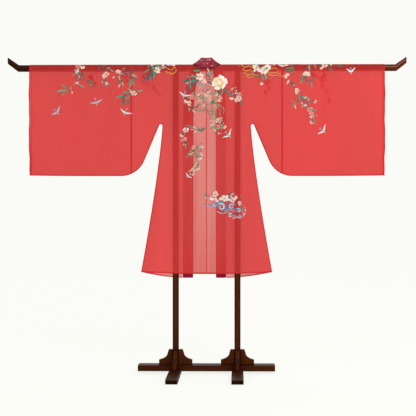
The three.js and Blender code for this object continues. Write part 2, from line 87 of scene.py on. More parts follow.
ARMPIT = {"x": 262.0, "z": 1417.0, "radius": 10.0}
ARMPIT_ROW = ARMPIT["z"] - ARMPIT["radius"]
UNDER_ARC = {"x": 488.0, "radius": 143.0, "meet_x": 356.0}
CUFF_LIFT = {"from_x": 640.0, "rise": 3.0}  # the sleeve's lower edge rises a little towards the cuff
CUFF_INSET = 1.2
CUFF_WAVES = ((1.3, 41, 0.6), (0.8, 17, 2.0))  # height, length over 2 pi, and start of each wave
RUN_ON = 40.0  # how far the sewn line is taken past the cloth's own corners
SIDE = {"top": 252.0, "hem": 374.0, "flare": 1.25, "corner_z": 573.0}
HEM_DROP = {BACK: 9.5, FRONT: 34.0}
NECK_HALF, NECK_DIP = 83.0, 1730.0
FRONT_EDGE_Z = [0.0, 1490.0, 1580.0, 1660.0, 1712.0, NECK_DIP, SHOULDER_Z]
FRONT_EDGE_X = {
    "right": [112.0, 112.0, 110.0, 103.0, 95.0, 92.0, NECK_HALF],
    "left": [138.0, 136.0, 131.0, 118.0, 102.0, 96.0, NECK_HALF],
}

# The way over the bar: a short rise, an arc round the bar's edge, then level to the shoulder line.
ARC_R = 5.9
RISE = SHOULDER_Z - ARC_R - NECK_DIP
ARC = ARC_R * math.pi / 2
OVER = RISE + ARC + BAR_OFF - ARC_R
SHOULDER_V = NECK_DIP + OVER  # height along the cloth: z as far as the neck, then the way over the bar


def ease(t):
    t = np.clip(t, 0.0, 1.0)
    return t * t * (3 - 2 * t)


def side_x(z):
    down = np.clip((ARMPIT_ROW - z) / (ARMPIT_ROW - SIDE["corner_z"]), 0, 1)
    return SIDE["top"] + (SIDE["hem"] - SIDE["top"]) * down ** SIDE["flare"]


def under_z(x):
    """Height of the sleeve's lower edge, from the armpit to the cuff."""
    start_x = ARMPIT["x"] + ARMPIT["radius"]
    centre_z = SLEEVE_BOTTOM + UNDER_ARC["radius"]
    arc = centre_z - np.sqrt(np.maximum(UNDER_ARC["radius"] ** 2 - (x - UNDER_ARC["x"]) ** 2, 0))
    meet_z = centre_z - math.sqrt(UNDER_ARC["radius"] ** 2 - (UNDER_ARC["meet_x"] - UNDER_ARC["x"]) ** 2)
    line = ARMPIT_ROW + (meet_z - ARMPIT_ROW) * (x - start_x) / (UNDER_ARC["meet_x"] - start_x)
    outward = np.clip((x - CUFF_LIFT["from_x"]) / (SPAN - CUFF_LIFT["from_x"]), 0, 1)
    lifted = SLEEVE_BOTTOM + CUFF_LIFT["rise"] * outward**2
    return np.where(x < UNDER_ARC["meet_x"], line, np.where(x > UNDER_ARC["x"], lifted, arc))


def cuff_x(v):
    """The cuff's slightly wavy edge."""
    x = SPAN - CUFF_INSET
    for height, length, start in CUFF_WAVES:
        x = x + height * np.sin(v / length + start)
    return x


def hem_z(facing, u):
    return SIDE["corner_z"] - HEM_DROP[facing] * (1 - u**1.8)


def front_edge_x(side, z):
    return np.interp(z, FRONT_EDGE_Z, FRONT_EDGE_X[side])


def seam_line():
    """Cuff, sleeve bottom, armpit and side seam as one line of points."""
    arc_x = np.linspace(UNDER_ARC["x"], UNDER_ARC["meet_x"], 9)
    side_z = np.linspace(ARMPIT_ROW, SIDE["corner_z"] - RUN_ON, 9)
    line = [(SPAN + RUN_ON, SLEEVE_BOTTOM)]
    line += list(zip(arc_x, under_z(arc_x)))
    line += [(ARMPIT["x"] + ARMPIT["radius"], ARMPIT_ROW), (ARMPIT["x"], ARMPIT["z"])]
    line += list(zip(side_x(side_z), side_z))
    return np.array(line)


SEAM_LINE = seam_line()


def seam_distance(x, z):
    best = np.full(np.shape(x), np.inf)
    for a, b in zip(SEAM_LINE[:-1], SEAM_LINE[1:]):
        along = b - a
        t = np.clip(((x - a[0]) * along[0] + (z - a[1]) * along[1]) / (along @ along), 0, 1)
        best = np.minimum(best, np.hypot(x - a[0] - t * along[0], z - a[1] - t * along[1]))
    return best


# ------------------------------------------------------------------ how one layer hangs
# Each crease has x at the top, drift per mm down, half width, depth, height of the middle and half length.
# They are drawn between these limits, a column at a time: many long soft ones, and short pinches at the bar.
LONG_CREASES = 34, ((30, SPAN), (-0.06, 0.06), (7, 20), (-0.9, 1.3), (900, 1500), (180, 420))
PINCHES = 40, ((100, SPAN), (-0.25, 0.25), (4, 9), (-1.0, 1.4), (1640, 1690), (25, 60))
PUCKER = {"depth": 0.3, "per_mm": 0.41, "reach": 9.0}  # small puckers along the upright seams
CLOSING = {"soft": 4.0, "reach": 24.0}  # how fast the layers part, away from a sewn edge
POST_CLEARANCE = 0.5
BAR_MEETING = {"below": 45, "over": 40}  # where the layer comes to the bar's face, under the neck's height


class HungLayer:
    """Depth of one layer of one side, read off the solids, smoothed, and given its finer creases."""

    STEP_X, STEP_Z = 8.0, 12.0
    FIRST_Z = 528.0
    FAR = 200  # rays start this far out
    TRACE = 1e-6  # weight under which a grid point still has no depth

    def __init__(self, side, facing):
        self.side, self.facing = side, facing
        self.xs = np.arange(0, SPAN + self.STEP_X, self.STEP_X)
        self.zs = np.arange(self.FIRST_Z, NECK_DIP + self.STEP_Z, self.STEP_Z)
        self.field = self.smoothed(self.measured())
        self.creases = self.crease_table()

    def measured(self):
        """Depths under a grid of points, and not-a-number where there is no cloth."""
        trees = []
        for node in (f"body_{self.side}", f"sleeve_{self.side}"):
            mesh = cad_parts[node].data
            corners = [v.co for v in mesh.vertices]
            trees.append(BVHTree.FromPolygons(corners, [p.vertices for p in mesh.polygons]))
        depth = np.full((len(self.zs), len(self.xs)), np.nan)
        way = Vector((0, -self.facing, 0))
        for i, z in enumerate(self.zs):
            for j, x in enumerate(self.xs):
                start = Vector((SIDES[self.side] * x, self.facing * self.FAR, z)) * MM
                hits = [tree.ray_cast(start, way)[0] for tree in trees]
                reach = [abs(hit.y) / MM for hit in hits if hit is not None and hit.y * self.facing > 0]
                if reach:
                    depth[i, j] = max(reach) - WALL / 2
        return depth

    @staticmethod
    def blurred(a):
        a = np.pad(a, 1, mode="edge")
        a = (a[:-2] + 2 * a[1:-1] + a[2:]) / 4
        return (a[:, :-2] + 2 * a[:, 1:-1] + a[:, 2:]) / 4

    def smoothed(self, depth):
        """The depths with their steps smoothed out, carried on past the cloth's edges."""
        known = ~np.isnan(depth)
        weight = known.astype(float)
        total = np.where(known, depth, 0.0)
        for _ in range(3):
            total, weight = self.blurred(total), self.blurred(weight)
        value = total / np.maximum(weight, 1e-9)
        while (weight < self.TRACE).any():
            known = weight > self.TRACE
            total, weight = self.blurred(np.where(known, value, 0)), self.blurred(known)
            value = np.where(weight > self.TRACE, total / np.maximum(weight, 1e-9), value)
        return value

    def crease_table(self):
        rng = np.random.default_rng(11 + 2 * (self.side == "right") + (self.facing == FRONT))
        return np.vstack([np.column_stack([rng.uniform(low, high, count) for low, high in limits])
                          for count, limits in (LONG_CREASES, PINCHES)])

    def depth(self, x, z):
        """How far the layer hangs from the plane between back and front, at points x and z of its side."""
        i = np.clip((z - self.FIRST_Z) / self.STEP_Z, 0, len(self.zs) - 1.001)
        j = np.clip(x / self.STEP_X, 0, len(self.xs) - 1.001)
        row, column = i.astype(int), j.astype(int)
        fi, fj = i - row, j - column
        f = self.field
        hanging = (
            f[row, column] * (1 - fi) * (1 - fj)
            + f[row + 1, column] * fi * (1 - fj)
            + f[row, column + 1] * (1 - fi) * fj
            + f[row + 1, column + 1] * fi * fj
        )
        for top_x, drift, half, amount, middle, reach in self.creases:
            away = (x - top_x - drift * (NECK_DIP - z)) / half
            hanging = hanging + amount * np.exp(-away * away - ((z - middle) / reach) ** 2)
        for seam_x in (0.0, SLEEVE_SEAM):
            wave = PUCKER["depth"] * np.sin(z * PUCKER["per_mm"] + seam_x)
            hanging = hanging + wave * np.exp(-(((x - seam_x) / PUCKER["reach"]) ** 2))
        soft = CLOSING["soft"]
        closing = np.clip(np.log1p(seam_distance(x, z) / soft) / math.log1p(CLOSING["reach"] / soft), 0, 1)
        hanging = SEWN_OFF + (hanging - SEWN_OFF) * closing
        near_post = np.abs(x - POST_X) < POST_HALF + 1
        hanging = np.where(near_post, np.maximum(hanging, POST_DEPTH + POST_CLEARANCE), hanging)
        at_bar = ease((z - (NECK_DIP - BAR_MEETING["below"])) / BAR_MEETING["over"])
        return hanging * (1 - at_bar) + BAR_OFF * at_bar


LAYERS = {(side, facing): HungLayer(side, facing) for side in SIDES for facing in (BACK, FRONT)}


def on_cloth(x, v, facing, lift=0.0):
    """Points of the robe, in metres, for x across it and v up it; past the shoulder line v runs down."""
    x, v = np.broadcast_arrays(np.asarray(x, float), np.asarray(v, float))
    lift = np.broadcast_to(np.asarray(lift, float), x.shape)
    beyond = v > SHOULDER_V
    v = np.where(beyond, 2 * SHOULDER_V - v, v)
    face = np.where(beyond, -facing, facing)
    off, z = np.zeros(x.shape), np.minimum(v, NECK_DIP).astype(float)
    for (side, layer_face), layer in LAYERS.items():
        chosen = (face == layer_face) & ((x > 0) == (side == "right"))
        if chosen.any():
            off[chosen] = layer.depth(np.abs(x[chosen]), z[chosen]) + lift[chosen]
    q = v - NECK_DIP
    turn = np.clip((q - RISE) / ARC_R, 0, math.pi / 2)
    over_off = BAR_OFF - ARC_R * (1 - np.cos(turn)) - np.maximum(q - RISE - ARC, 0) + lift * np.cos(turn)
    over_z = NECK_DIP + np.minimum(np.maximum(q, 0), RISE) + ARC_R * np.sin(turn) + lift * np.sin(turn)
    off, z = np.where(q > 0, over_off, off), np.where(q > 0, over_z, z)
    return np.stack([x, face * off, z], axis=-1) * MM


# ------------------------------------------------------------------ mesh helpers
class Patchwork:
    """A surface of joined patches; rows run upwards and columns to the right."""

    POINTS_PER_M = 1e6  # points that fall on the same step are one

    def __init__(self):
        self.points, self.faces, self.index, self.flat_area = [], [], {}, 0.0

    def vertex(self, p):
        key = tuple(round(c * self.POINTS_PER_M) for c in p)
        if key not in self.index:
            self.index[key] = len(self.points)
            self.points.append(tuple(p))
        return self.index[key]

    def patch(self, x, v, facing, lift=0.0, sign=1):
        """x and v are arrays of rows and columns, on the cloth's own flat plan."""
        at = on_cloth(sign * x, v, facing, lift)
        ids = [[self.vertex(p) for p in row] for row in at]
        for lower, upper in zip(ids[:-1], ids[1:]):
            for a, b, c, d in zip(lower[:-1], lower[1:], upper[1:], upper[:-1]):
                corners = [i for k, i in enumerate((a, b, c, d)) if i not in (a, b, c, d)[:k]]
                if len(corners) > 2:
                    self.faces.append(corners if sign * -facing > 0 else corners[::-1])
        dx, dv = np.diff(x, axis=1), np.diff(v, axis=0)
        self.flat_area += float(np.abs(dx[:-1] * (dv[:, :-1] + dv[:, 1:]) / 2).sum()) * MM * MM

    def build(self, name, material):
        return mesh_object(name, self.points, self.faces, material)


def mesh_object(name, points, faces, material):
    mesh = bpy.data.meshes.new(name)
    mesh.from_pydata(points, [], faces)
    mesh.validate()
    mesh.polygons.foreach_set("use_smooth", [True] * len(mesh.polygons))
    mesh.materials.append(material)
    made = bpy.data.objects.new(name, mesh)
    bpy.context.scene.collection.objects.link(made)
    return made


def dress(piece, slot, *nodes):
    """Puts a piece on the part's one body, in place of the solids that it stands for; its slot is not used.
    """
    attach(piece, "root")
    if nodes:
        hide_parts(*nodes)
    return piece


# ------------------------------------------------------------------ shader maths
class Value:
    """A number that varies over a surface; operators on it add Math nodes."""

    def __init__(self, finish, socket):
        self.finish, self.socket = finish, socket

    def maths(self, operation, a, b):
        node = self.finish.node("ShaderNodeMath", {"operation": operation}, {0: a, 1: b})
        return Value(self.finish, node.outputs[0])

    def __add__(self, other):
        return self.maths("ADD", self, other)

    def __sub__(self, other):
        return self.maths("SUBTRACT", self, other)

    def __rsub__(self, other):
        return self.maths("SUBTRACT", other, self)

    def __mul__(self, other):
        return self.maths("MULTIPLY", self, other)

    def __gt__(self, other):
        return self.maths("GREATER_THAN", self, other)

    __radd__, __rmul__ = __add__, __mul__

    def sine(self):
        return self.maths("SINE", self, 0.0)


class Finish:
    """A material round one Principled shader."""

    def __init__(self, name, **constants):
        self.material = bpy.data.materials.new(name)
        self.material.use_nodes = True
        self.tree = self.material.node_tree
        self.shader = self.tree.nodes["Principled BSDF"]
        for socket, value in constants.items():
            self.shader.inputs[socket.replace("_", " ")].default_value = value

    def node(self, kind, settings=None, sockets=None, stops=None):
        made = self.tree.nodes.new(kind)
        for key, value in (settings or {}).items():
            setattr(made, key, value)
        if stops:
            elements = made.color_ramp.elements
            while len(elements) < len(stops):
                elements.new(0.5)
            for element, (position, colour) in zip(elements, stops):
                element.position, element.color = position, (*colour, 1.0)
        for key, value in (sockets or {}).items():
            self.feed(made.inputs[key], value)
        return made

    def feed(self, socket, value):
        value = value.socket if isinstance(value, Value) else value
        if isinstance(value, bpy.types.NodeSocket):
            self.tree.links.new(value, socket)
        else:
            socket.default_value = value

    def place(self, scale):
        """The object's own coordinates, in metres, scaled along each axis."""
        where = self.node("ShaderNodeTexCoord").outputs["Object"]
        mapping = self.node("ShaderNodeMapping", {}, {"Vector": where, "Scale": scale})
        return mapping.outputs["Vector"]

    def noise(self, scale, detail=2.0, rough=0.5, offset=0.0):
        sockets = {"Vector": self.place(scale), "Scale": 1.0, "Detail": detail, "Roughness": rough}
        made = self.node("ShaderNodeTexNoise", {"noise_dimensions": "4D"}, {**sockets, "W": offset})
        return Value(self, made.outputs["Fac"])

    def blend(self, factor, a, b, kind="MIX"):
        node = self.node("ShaderNodeMix", {"data_type": "RGBA", "blend_type": kind})
        self.feed(node.inputs["Factor"], factor)
        for key, value in ((6, a), (7, b)):
            self.feed(node.inputs[key], (*value, 1.0) if isinstance(value, tuple) else value)
        return node.outputs[2]

    def rise(self, value, start, end):
        """Goes smoothly from 0 to 1 as a value goes from start to end."""
        settings = {"interpolation_type": "SMOOTHSTEP"}
        made = self.node("ShaderNodeMapRange", settings, {"Value": value, "From Min": start, "From Max": end})
        return Value(self, made.outputs["Result"])

    def between(self, value, rising, falling):
        """Is 1 between two soft edges, each given by its start and end, and 0 outside them."""
        return self.rise(value, *rising) * (1 - self.rise(value, *falling))

    def xyz(self, vector):
        parts = self.node("ShaderNodeSeparateXYZ", {}, {0: vector})
        return [Value(self, part) for part in parts.outputs]

    def toned(self, colour, tone):
        """A colour made darker or lighter by a tone that varies."""
        grey = self.node("ShaderNodeCombineColor", {}, {0: tone, 1: tone, 2: tone}).outputs[0]
        return self.blend(1.0, colour, grey, "MULTIPLY")

    def set(self, socket, value):
        self.feed(self.shader.inputs[socket], value)

    def bump(self, height, strength, distance):
        sockets = {"Height": height, "Strength": strength, "Distance": distance}
        self.set("Normal", self.node("ShaderNodeBump", {}, sockets).outputs["Normal"])

    def shine_through(self, colour, share):
        """Lets a share of the light come through from behind, scattered, as thin cloth does."""
        behind = self.node("ShaderNodeBsdfTranslucent", {}, {"Color": (*colour, 1.0)}).outputs["BSDF"]
        both = self.node("ShaderNodeMixShader", {}, {0: share, 1: self.shader.outputs["BSDF"], 2: behind})
        self.feed(self.tree.nodes["Material Output"].inputs["Surface"], both.outputs["Shader"])


def linear(*screen):
    """Red, green and blue on the screen, from 0 to 255, as the shader's own colour."""
    shares = [c / 255 for c in screen]
    return tuple(c / 12.92 if c <= 0.04045 else ((c + 0.055) / 1.055) ** 2.4 for c in shares)


def darker(colour, share):
    return tuple(c * share for c in colour)


# ------------------------------------------------------------------ what a user would change
class HanfuCloth(bpy.types.PropertyGroup):
    gauze: bpy.props.FloatVectorProperty(
        name="Gauze", description="Colour of the sheer silk", subtype="COLOR", size=3,
        default=(0.76, 0.052, 0.052), min=0, max=1)
    opacity: bpy.props.FloatProperty(
        name="Opacity", description="Share of the light that one layer of gauze stops",
        default=0.81, min=0.2, max=1, subtype="FACTOR")
    through: bpy.props.FloatProperty(
        name="Glow", description="How much of the light on the gauze comes out on its other side",
        default=0.34, min=0, max=0.8, subtype="FACTOR")
    seam: bpy.props.FloatVectorProperty(
        name="Seams", description="Colour of the seams and rolled hems", subtype="COLOR", size=3,
        default=(0.56, 0.014, 0.024), min=0, max=1)
    brocade: bpy.props.FloatVectorProperty(
        name="Brocade", description="Ground colour of the collar", subtype="COLOR", size=3,
        default=(0.31, 0.004, 0.036), min=0, max=1)
    hem_width: bpy.props.FloatProperty(
        name="Hem width", description="Width of the turned hems", default=0.009, min=0.004, max=0.03,
        unit="LENGTH")
    seam_width: bpy.props.FloatProperty(
        name="Seam width", description="Width of the stitched seams and rolled edges", default=0.0062,
        min=0.003, max=0.02, unit="LENGTH")


class HanfuStand(bpy.types.PropertyGroup):
    wood: bpy.props.FloatVectorProperty(
        name="Wood", description="Colour of the lacquered wood", subtype="COLOR", size=3,
        default=(0.051, 0.0098, 0.0022), min=0, max=1)
    bracket: bpy.props.FloatVectorProperty(
        name="Brackets", description="Colour of the carved corner brackets", subtype="COLOR", size=3,
        default=(0.058, 0.0122, 0.0018), min=0, max=1)
    edge: bpy.props.FloatProperty(
        name="Eased edge", description="Width of the softened edges", default=0.0018, min=0.0002, max=0.004,
        unit="LENGTH")


class HanfuStudio(bpy.types.PropertyGroup):
    distance: bpy.props.FloatProperty(
        name="Camera distance", description="From the crossbar to the camera", default=3.725, min=1, max=10,
        unit="LENGTH")
    height: bpy.props.FloatProperty(
        name="Camera height", description="Height of the camera above the floor", default=0.9385,
        min=0.1, max=3, unit="LENGTH")
    turn: bpy.props.FloatProperty(
        name="Camera turn", description="How far the camera is turned to the left",
        default=math.radians(0.6), min=-1, max=1, subtype="ANGLE")
    aside: bpy.props.FloatProperty(
        name="Camera aside", description="How far the camera stands to the right of the middle",
        default=0.175, min=-2, max=2, unit="LENGTH")
    middle: bpy.props.FloatProperty(
        name="Middle of the view", description="Place along the crossbar at the middle of the view",
        default=0.008, min=-1, max=1, unit="LENGTH")
    width_seen: bpy.props.FloatProperty(
        name="Width seen", description="Width of the view at the crossbar", default=2.371, min=0.5, max=8,
        unit="LENGTH")


# ------------------------------------------------------------------ finishes
# Places on the robe, in metres: each pair is where a soft edge starts and ends.
OPEN_FRONT = (-0.088, -0.070), (0.044, 0.062)  # one layer of cloth alone hangs here
LEFT_BAND = (-0.140, -0.126), (-0.082, -0.070)
RIGHT_BAND = (0.046, 0.060), (0.106, 0.118)
LEFT_HALF = (-0.32, -0.24), (-0.088, -0.070)
BELOW_CHEST = 1.25, 1.52
SKIRT = 0.50, 0.85
OVER_THE_BAR = 1.712, 1.730
PLEATED_HALF = 0.05, 0.08  # square of the distance from the middle
OUTER_SKIRT = 0.04, 0.11  # the same
LIGHT_OVER_BANDS = (0.95, 0.50, 0.52)  # painted light: the gauze made paler where it lies on the collar bands
SINGLE_LAYER_SHADE = (0.60, 0.042, 0.014)  # painted shade: one layer alone is painted darker and warmer, for the light it lacks from behind
PASSED_ON = (0.95, 0.84, 0.58)  # what the cloth leaves of its own red, green and blue in light from behind


def gauze_finish(name, colour, opacity, through):
    """Opacity is the share of light that one layer stops, and through how much of that it passes on,
    scattered."""
    f = Finish(name, Roughness=0.7, Specular_IOR_Level=0.06)
    slub = f.noise((420, 420, 6), detail=3, offset=1.0)
    streak = f.noise((7, 7, 0.5), offset=4.0)
    cloud = f.noise((2.6, 2.6, 2.0), offset=9.0)
    across, _, height = f.xyz(f.place((1, 1, 1)))
    aside = across * across
    lower = 1 - f.rise(height, *BELOW_CHEST)
    single = f.between(across, *OPEN_FRONT)
    banded = (f.between(across, *LEFT_BAND) + f.between(across, *RIGHT_BAND)) * lower * f.rise(height, *SKIRT)
    left_half = f.between(across, *LEFT_HALF) * lower
    # painted shade: random patches on the upper back, darkened as the shade in soft creases
    crease = f.rise(f.noise((17, 17, 1.6), detail=1.5, offset=12.0), 0.52, 0.72) * f.rise(height, 1.30, 1.62)
    outer = f.rise(aside, *OUTER_SKIRT) * (1 - f.rise(height, 0.7, 1.3))
    # painted shade over the bar, where the bar stops the light from behind, deeper towards +X
    shade_over_bar = f.rise(height, *OVER_THE_BAR) * (f.rise(across, 0.3, 1.0) * 0.13 + 0.15)
    # painted light and shade of pleats in bands down the lower middle; in the alpha it is the cloth's own
    # density
    pleat_shade_and_density = f.noise((42, 42, 0.7), rough=0.6, offset=15.0) - 0.5
    pleat_shade_and_density = pleat_shade_and_density * (1 - f.rise(aside, *PLEATED_HALF)) * lower
    tone = 0.73 + slub * 0.10 + streak * 0.22 + cloud * 0.18 + outer * 0.05 + left_half * 0.10 + pleat_shade_and_density * 0.34
    # painted shade: the single layer is made darker, and lower down blended towards a darker, warmer colour
    tinted = f.toned(colour, tone - single * 0.17 - shade_over_bar - crease * 0.09)
    tinted = f.blend(banded * 0.050, tinted, LIGHT_OVER_BANDS)
    f.set("Base Color", f.blend(single * (1 - f.rise(height, 1.52, 1.68)) * 0.75, tinted, SINGLE_LAYER_SHADE))
    scattered = opacity * through
    plain = (opacity - scattered) / (1 - scattered)
    low = 1 - f.rise(height, 0.50, 1.0)
    hem_edge = 1 - f.rise(height, 0.546, 0.559)
    density = slub * 0.06 + streak * 0.12 + single * low * 0.07 + single * pleat_shade_and_density * 0.34 - left_half * 0.02
    f.set("Alpha", density - hem_edge * 0.3 + (plain - 0.09))
    weft = f.noise((30, 30, 900), detail=1, offset=7.0)
    f.bump(slub * 0.6 + weft * 0.4, 0.12, 0.0004)
    f.shine_through(tuple(c * share for c, share in zip(colour, PASSED_ON)), scattered)
    return f.material


def seam_finish(name, colour):
    """The close-stitched cloth of seams, selvedges and rolled hems."""
    f = Finish(name, Roughness=0.7, Specular_IOR_Level=0.05, Alpha=0.94)
    weave = f.noise((500, 500, 500), detail=2, offset=2.0)
    f.set("Base Color", f.blend(weave, darker(colour, 0.85), darker(colour, 1.15)))
    f.bump(weave, 0.3, 0.0004)
    return f.material


def brocade_finish(name, ground):
    """Damask with a scatter of small flowers and vines, shaded where the band turns in at the neck."""
    f = Finish(name, Roughness=0.55, Specular_IOR_Level=0.08)
    cells = f.node("ShaderNodeTexVoronoi", {"feature": "F1"}, {"Vector": f.place((74, 74, 74)), "Scale": 1.0})
    flower = Value(f, cells.outputs["Distance"])
    hue = f.node("ShaderNodeSeparateColor", {}, {0: cells.outputs["Color"]})
    which = Value(f, hue.outputs[0])
    tints = [(0.0, linear(110, 150, 118)), (0.26, linear(226, 168, 150)), (0.50, darker(ground, 0.35)),
             (0.70, ground)]
    ramp = f.node("ShaderNodeValToRGB", {}, {"Fac": which}, tints)
    ramp.color_ramp.interpolation = "CONSTANT"
    ragged = f.noise((420, 420, 420), detail=2, offset=6.0)
    fleck = 1 - (flower + ragged * 0.50 > 0.66)
    vine = f.noise((95, 95, 95), detail=2, rough=0.6, offset=8.0) - 0.5
    vine = 1 - (vine * vine > 0.0009)
    damask = f.noise((60, 60, 60), detail=2, offset=2.0)
    base = f.blend(damask, darker(ground, 0.55), darker(ground, 1.25))
    aside, _, height = f.xyz(f.place((1, 1, 1)))
    dense = f.rise(height, *SKIRT)
    woven = f.blend(vine * dense * 0.32, base, linear(132, 140, 128))
    woven = f.blend(fleck * dense * 0.55, woven, ramp.outputs["Color"])
    inside = (1 - f.rise(height - aside * aside * 5.6, 1.734, 1.741)) * f.rise(height, 1.722, 1.728)
    f.set("Base Color", f.blend(inside * 0.7, woven, darker(ground, 0.25)))
    rib = f.noise((900, 900, 120), detail=1, offset=3.0)
    f.bump(rib * 0.5 + fleck * 0.5, 0.35, 0.0005)
    return f.material


STITCH_MM = 0.9  # from one row of stitches to the next


def silk_thread_finish(name):
    """Satin stitch: the colour and the run of the stitches are stored with each motif."""
    f = Finish(name, Roughness=0.42, Specular_IOR_Level=0.45, Sheen_Weight=0.1)
    colour = f.node("ShaderNodeAttribute", {"attribute_name": "thread"}).outputs["Color"]
    run = Value(f, f.node("ShaderNodeAttribute", {"attribute_name": "stitch"}).outputs["Fac"])
    stripe = (run * (2 * math.pi / STITCH_MM)).sine() * 0.5 + 0.5
    f.set("Base Color", f.toned(colour, 0.86 + stripe * 0.16))
    f.bump(stripe, 0.5, 0.0003)
    return f.material


def wood_finish(name, colour, grain, lighter_towards_x=0.0, gloss=0.22, gleam=0.0, edges=None, upright=None,
                bead=None):
    """Lacquered wood.

    Grain is the axis that the fibres run along: 0, 1 or 2. The number after it makes the wood lighter towards
    +X. Gloss is how thick the lacquer lies on faces that look up, and gleam how it grows towards +X. Edges is
    the colour painted on the eased edges: painted shade when none is given, a painted highlight when a light
    one is. Upright is the place and half width of a post, painted darker towards its edges and lighter down
    its middle as painted shade and highlight. Bead is how far out a raised line begins; a painted highlight
    lies on it, stronger towards +X."""
    f = Finish(name, Specular_IOR_Level=0.04, Specular_Tint=(1.0, 0.72, 0.6, 1.0), Coat_Roughness=0.3)
    fine, broad = [210.0] * 3, [30.0] * 3
    fine[grain], broad[grain] = 5.0, 1.7
    fibre = f.noise(tuple(fine), detail=6, rough=0.62, offset=grain)
    band = f.noise(tuple(broad), detail=3, offset=5.0 + grain)
    stops = [(0.0, darker(colour, 0.35)), (0.42, darker(colour, 0.80)), (0.70, darker(colour, 1.45)),
             (1.0, darker(colour, 2.4))]
    share = fibre * 0.75 + band * 0.75 - 0.25
    wood = f.node("ShaderNodeValToRGB", {}, {"Fac": share}, stops).outputs["Color"]
    facing = f.xyz(f.node("ShaderNodeNewGeometry").outputs["Normal"])
    # darker across the grain: real end grain, and also painted shade, as on the fronts of the feet
    end_grain_and_shade = facing[grain] * facing[grain] > 0.5
    wood = f.blend(end_grain_and_shade * 0.85, wood, darker(colour, 0.30))
    x, y, _ = f.xyz(f.place((1, 1, 1)))
    tone = 1 + x * lighter_towards_x
    # painted shade and highlight: a post darker towards its sides and lighter down its middle
    if upright:
        middle, half = upright
        aside = (x * x - middle * middle) * (1 / (2 * middle * half))
        tone = tone * (1.22 - f.rise(aside * aside, 0.2, 0.95) * 0.72)
    wood = f.toned(wood, tone)
    # the eased edges get a painted colour: painted shade unless a light colour is given, then a painted
    # highlight
    edge_shade_and_highlight = Value(f, f.node("ShaderNodeAttribute", {"attribute_name": "edge_shade_and_highlight"}).outputs["Fac"])
    wood = f.blend(edge_shade_and_highlight * 0.75, wood, edges or darker(colour, 0.32))
    # painted highlight on the raised bead, stronger towards +X
    if bead:
        bead_highlight = f.rise(x, -0.9, 1.0) * 0.60 + 0.06
        wood = f.blend((y * y > bead * bead) * bead_highlight, wood, (0.36, 0.14, 0.10))
    f.set("Base Color", wood)
    f.set("Roughness", 0.42 + fibre * 0.2)
    f.set("Coat Weight", f.rise(facing[2], 0.15, 0.9) * (x * gleam + gloss))
    f.bump(fibre, 0.18, 0.0006)
    return f.material


# ------------------------------------------------------------------ cloth pieces
BODY_COLUMNS, SLEEVE_TOP_COLUMNS, SLEEVE_COLUMNS = 44, 18, 96
SKIRT_ROWS, DROP_ROWS, YOKE_ROWS, OVER_ROWS = 66, 24, 26, 16


def across(inner, outer, share):
    return inner + (outer - inner) * share


def yoke_x(inner):
    """Columns of one row between the armpits and the neck, past the rounded armpit, to the sleeve seam."""
    start = ARMPIT["x"] + ARMPIT["radius"]
    round_armpit = ARMPIT["x"] - ARMPIT["radius"] * np.cos(np.linspace(0, math.pi, 7)[1:-1])
    body = across(inner, SIDE["top"], np.linspace(0, 1, BODY_COLUMNS + 1))
    sleeve = across(start, SLEEVE_SEAM, np.linspace(0, 1, SLEEVE_TOP_COLUMNS + 1))
    return np.concatenate([body, round_armpit, sleeve])


def inner_edge(side, facing, z):
    """Where a body panel ends: at the centre-back seam, or at the front edge under the collar band."""
    return SEAM_GAP / 2 if facing == BACK else float(front_edge_x(side, z)) + SEAM_GAP


def body_plan(side, facing):
    """Patches of one layer of a body panel as pairs of arrays, x and v."""
    u = np.linspace(0, 1, BODY_COLUMNS + 1)
    skirt_x, skirt_v = [], []
    for t in np.linspace(0, 1, SKIRT_ROWS + 1):
        level = SIDE["corner_z"] + (ARMPIT_ROW - SIDE["corner_z"]) * t
        v = hem_z(facing, u) * (1 - t) + ARMPIT_ROW * t
        inner = inner_edge(side, facing, float(v[0]))
        skirt_x.append(across(inner, side_x(level), u))
        skirt_v.append(v)
    drop_x = across(ARMPIT["x"] + ARMPIT["radius"], SLEEVE_SEAM, np.linspace(0, 1, SLEEVE_TOP_COLUMNS + 1))
    drop = np.linspace(0, 1, DROP_ROWS + 1)[:, None]
    drop_v = under_z(drop_x)[None] * (1 - drop) + ARMPIT_ROW * drop
    yoke_rows_x, yoke_rows_v = [], []
    for v in np.linspace(ARMPIT_ROW, NECK_DIP, YOKE_ROWS + 1):
        x = yoke_x(inner_edge(side, facing, v))
        armpit = np.sqrt(np.maximum(ARMPIT["radius"] ** 2 - (x - ARMPIT["x"]) ** 2, 0)) + ARMPIT_ROW
        yoke_rows_x.append(x)
        yoke_rows_v.append(np.maximum(v, armpit) if v == ARMPIT_ROW else np.full(x.shape, v))
    over_x, over_v = [], []
    for angle in np.linspace(0, math.pi / 2, OVER_ROWS + 1):
        q = OVER * (1 - math.cos(angle))
        if facing == BACK:
            inner = max(SEAM_GAP / 2, NECK_HALF * math.sin(angle))
        else:
            at_dip = float(front_edge_x(side, NECK_DIP))
            inner = across(at_dip, NECK_HALF, (q / OVER) ** 0.8) + SEAM_GAP
        if angle > math.pi / 2 - 1e-6:  # both layers meet at the shoulder line
            inner = NECK_HALF
        x = yoke_x(inner)
        over_x.append(x)
        over_v.append(np.full(x.shape, NECK_DIP + q))
    return [
        (np.array(skirt_x), np.array(skirt_v)),
        (np.tile(drop_x, (DROP_ROWS + 1, 1)), drop_v),
        (np.array(yoke_rows_x), np.array(yoke_rows_v)),
        (np.array(over_x), np.array(over_v)),
    ]


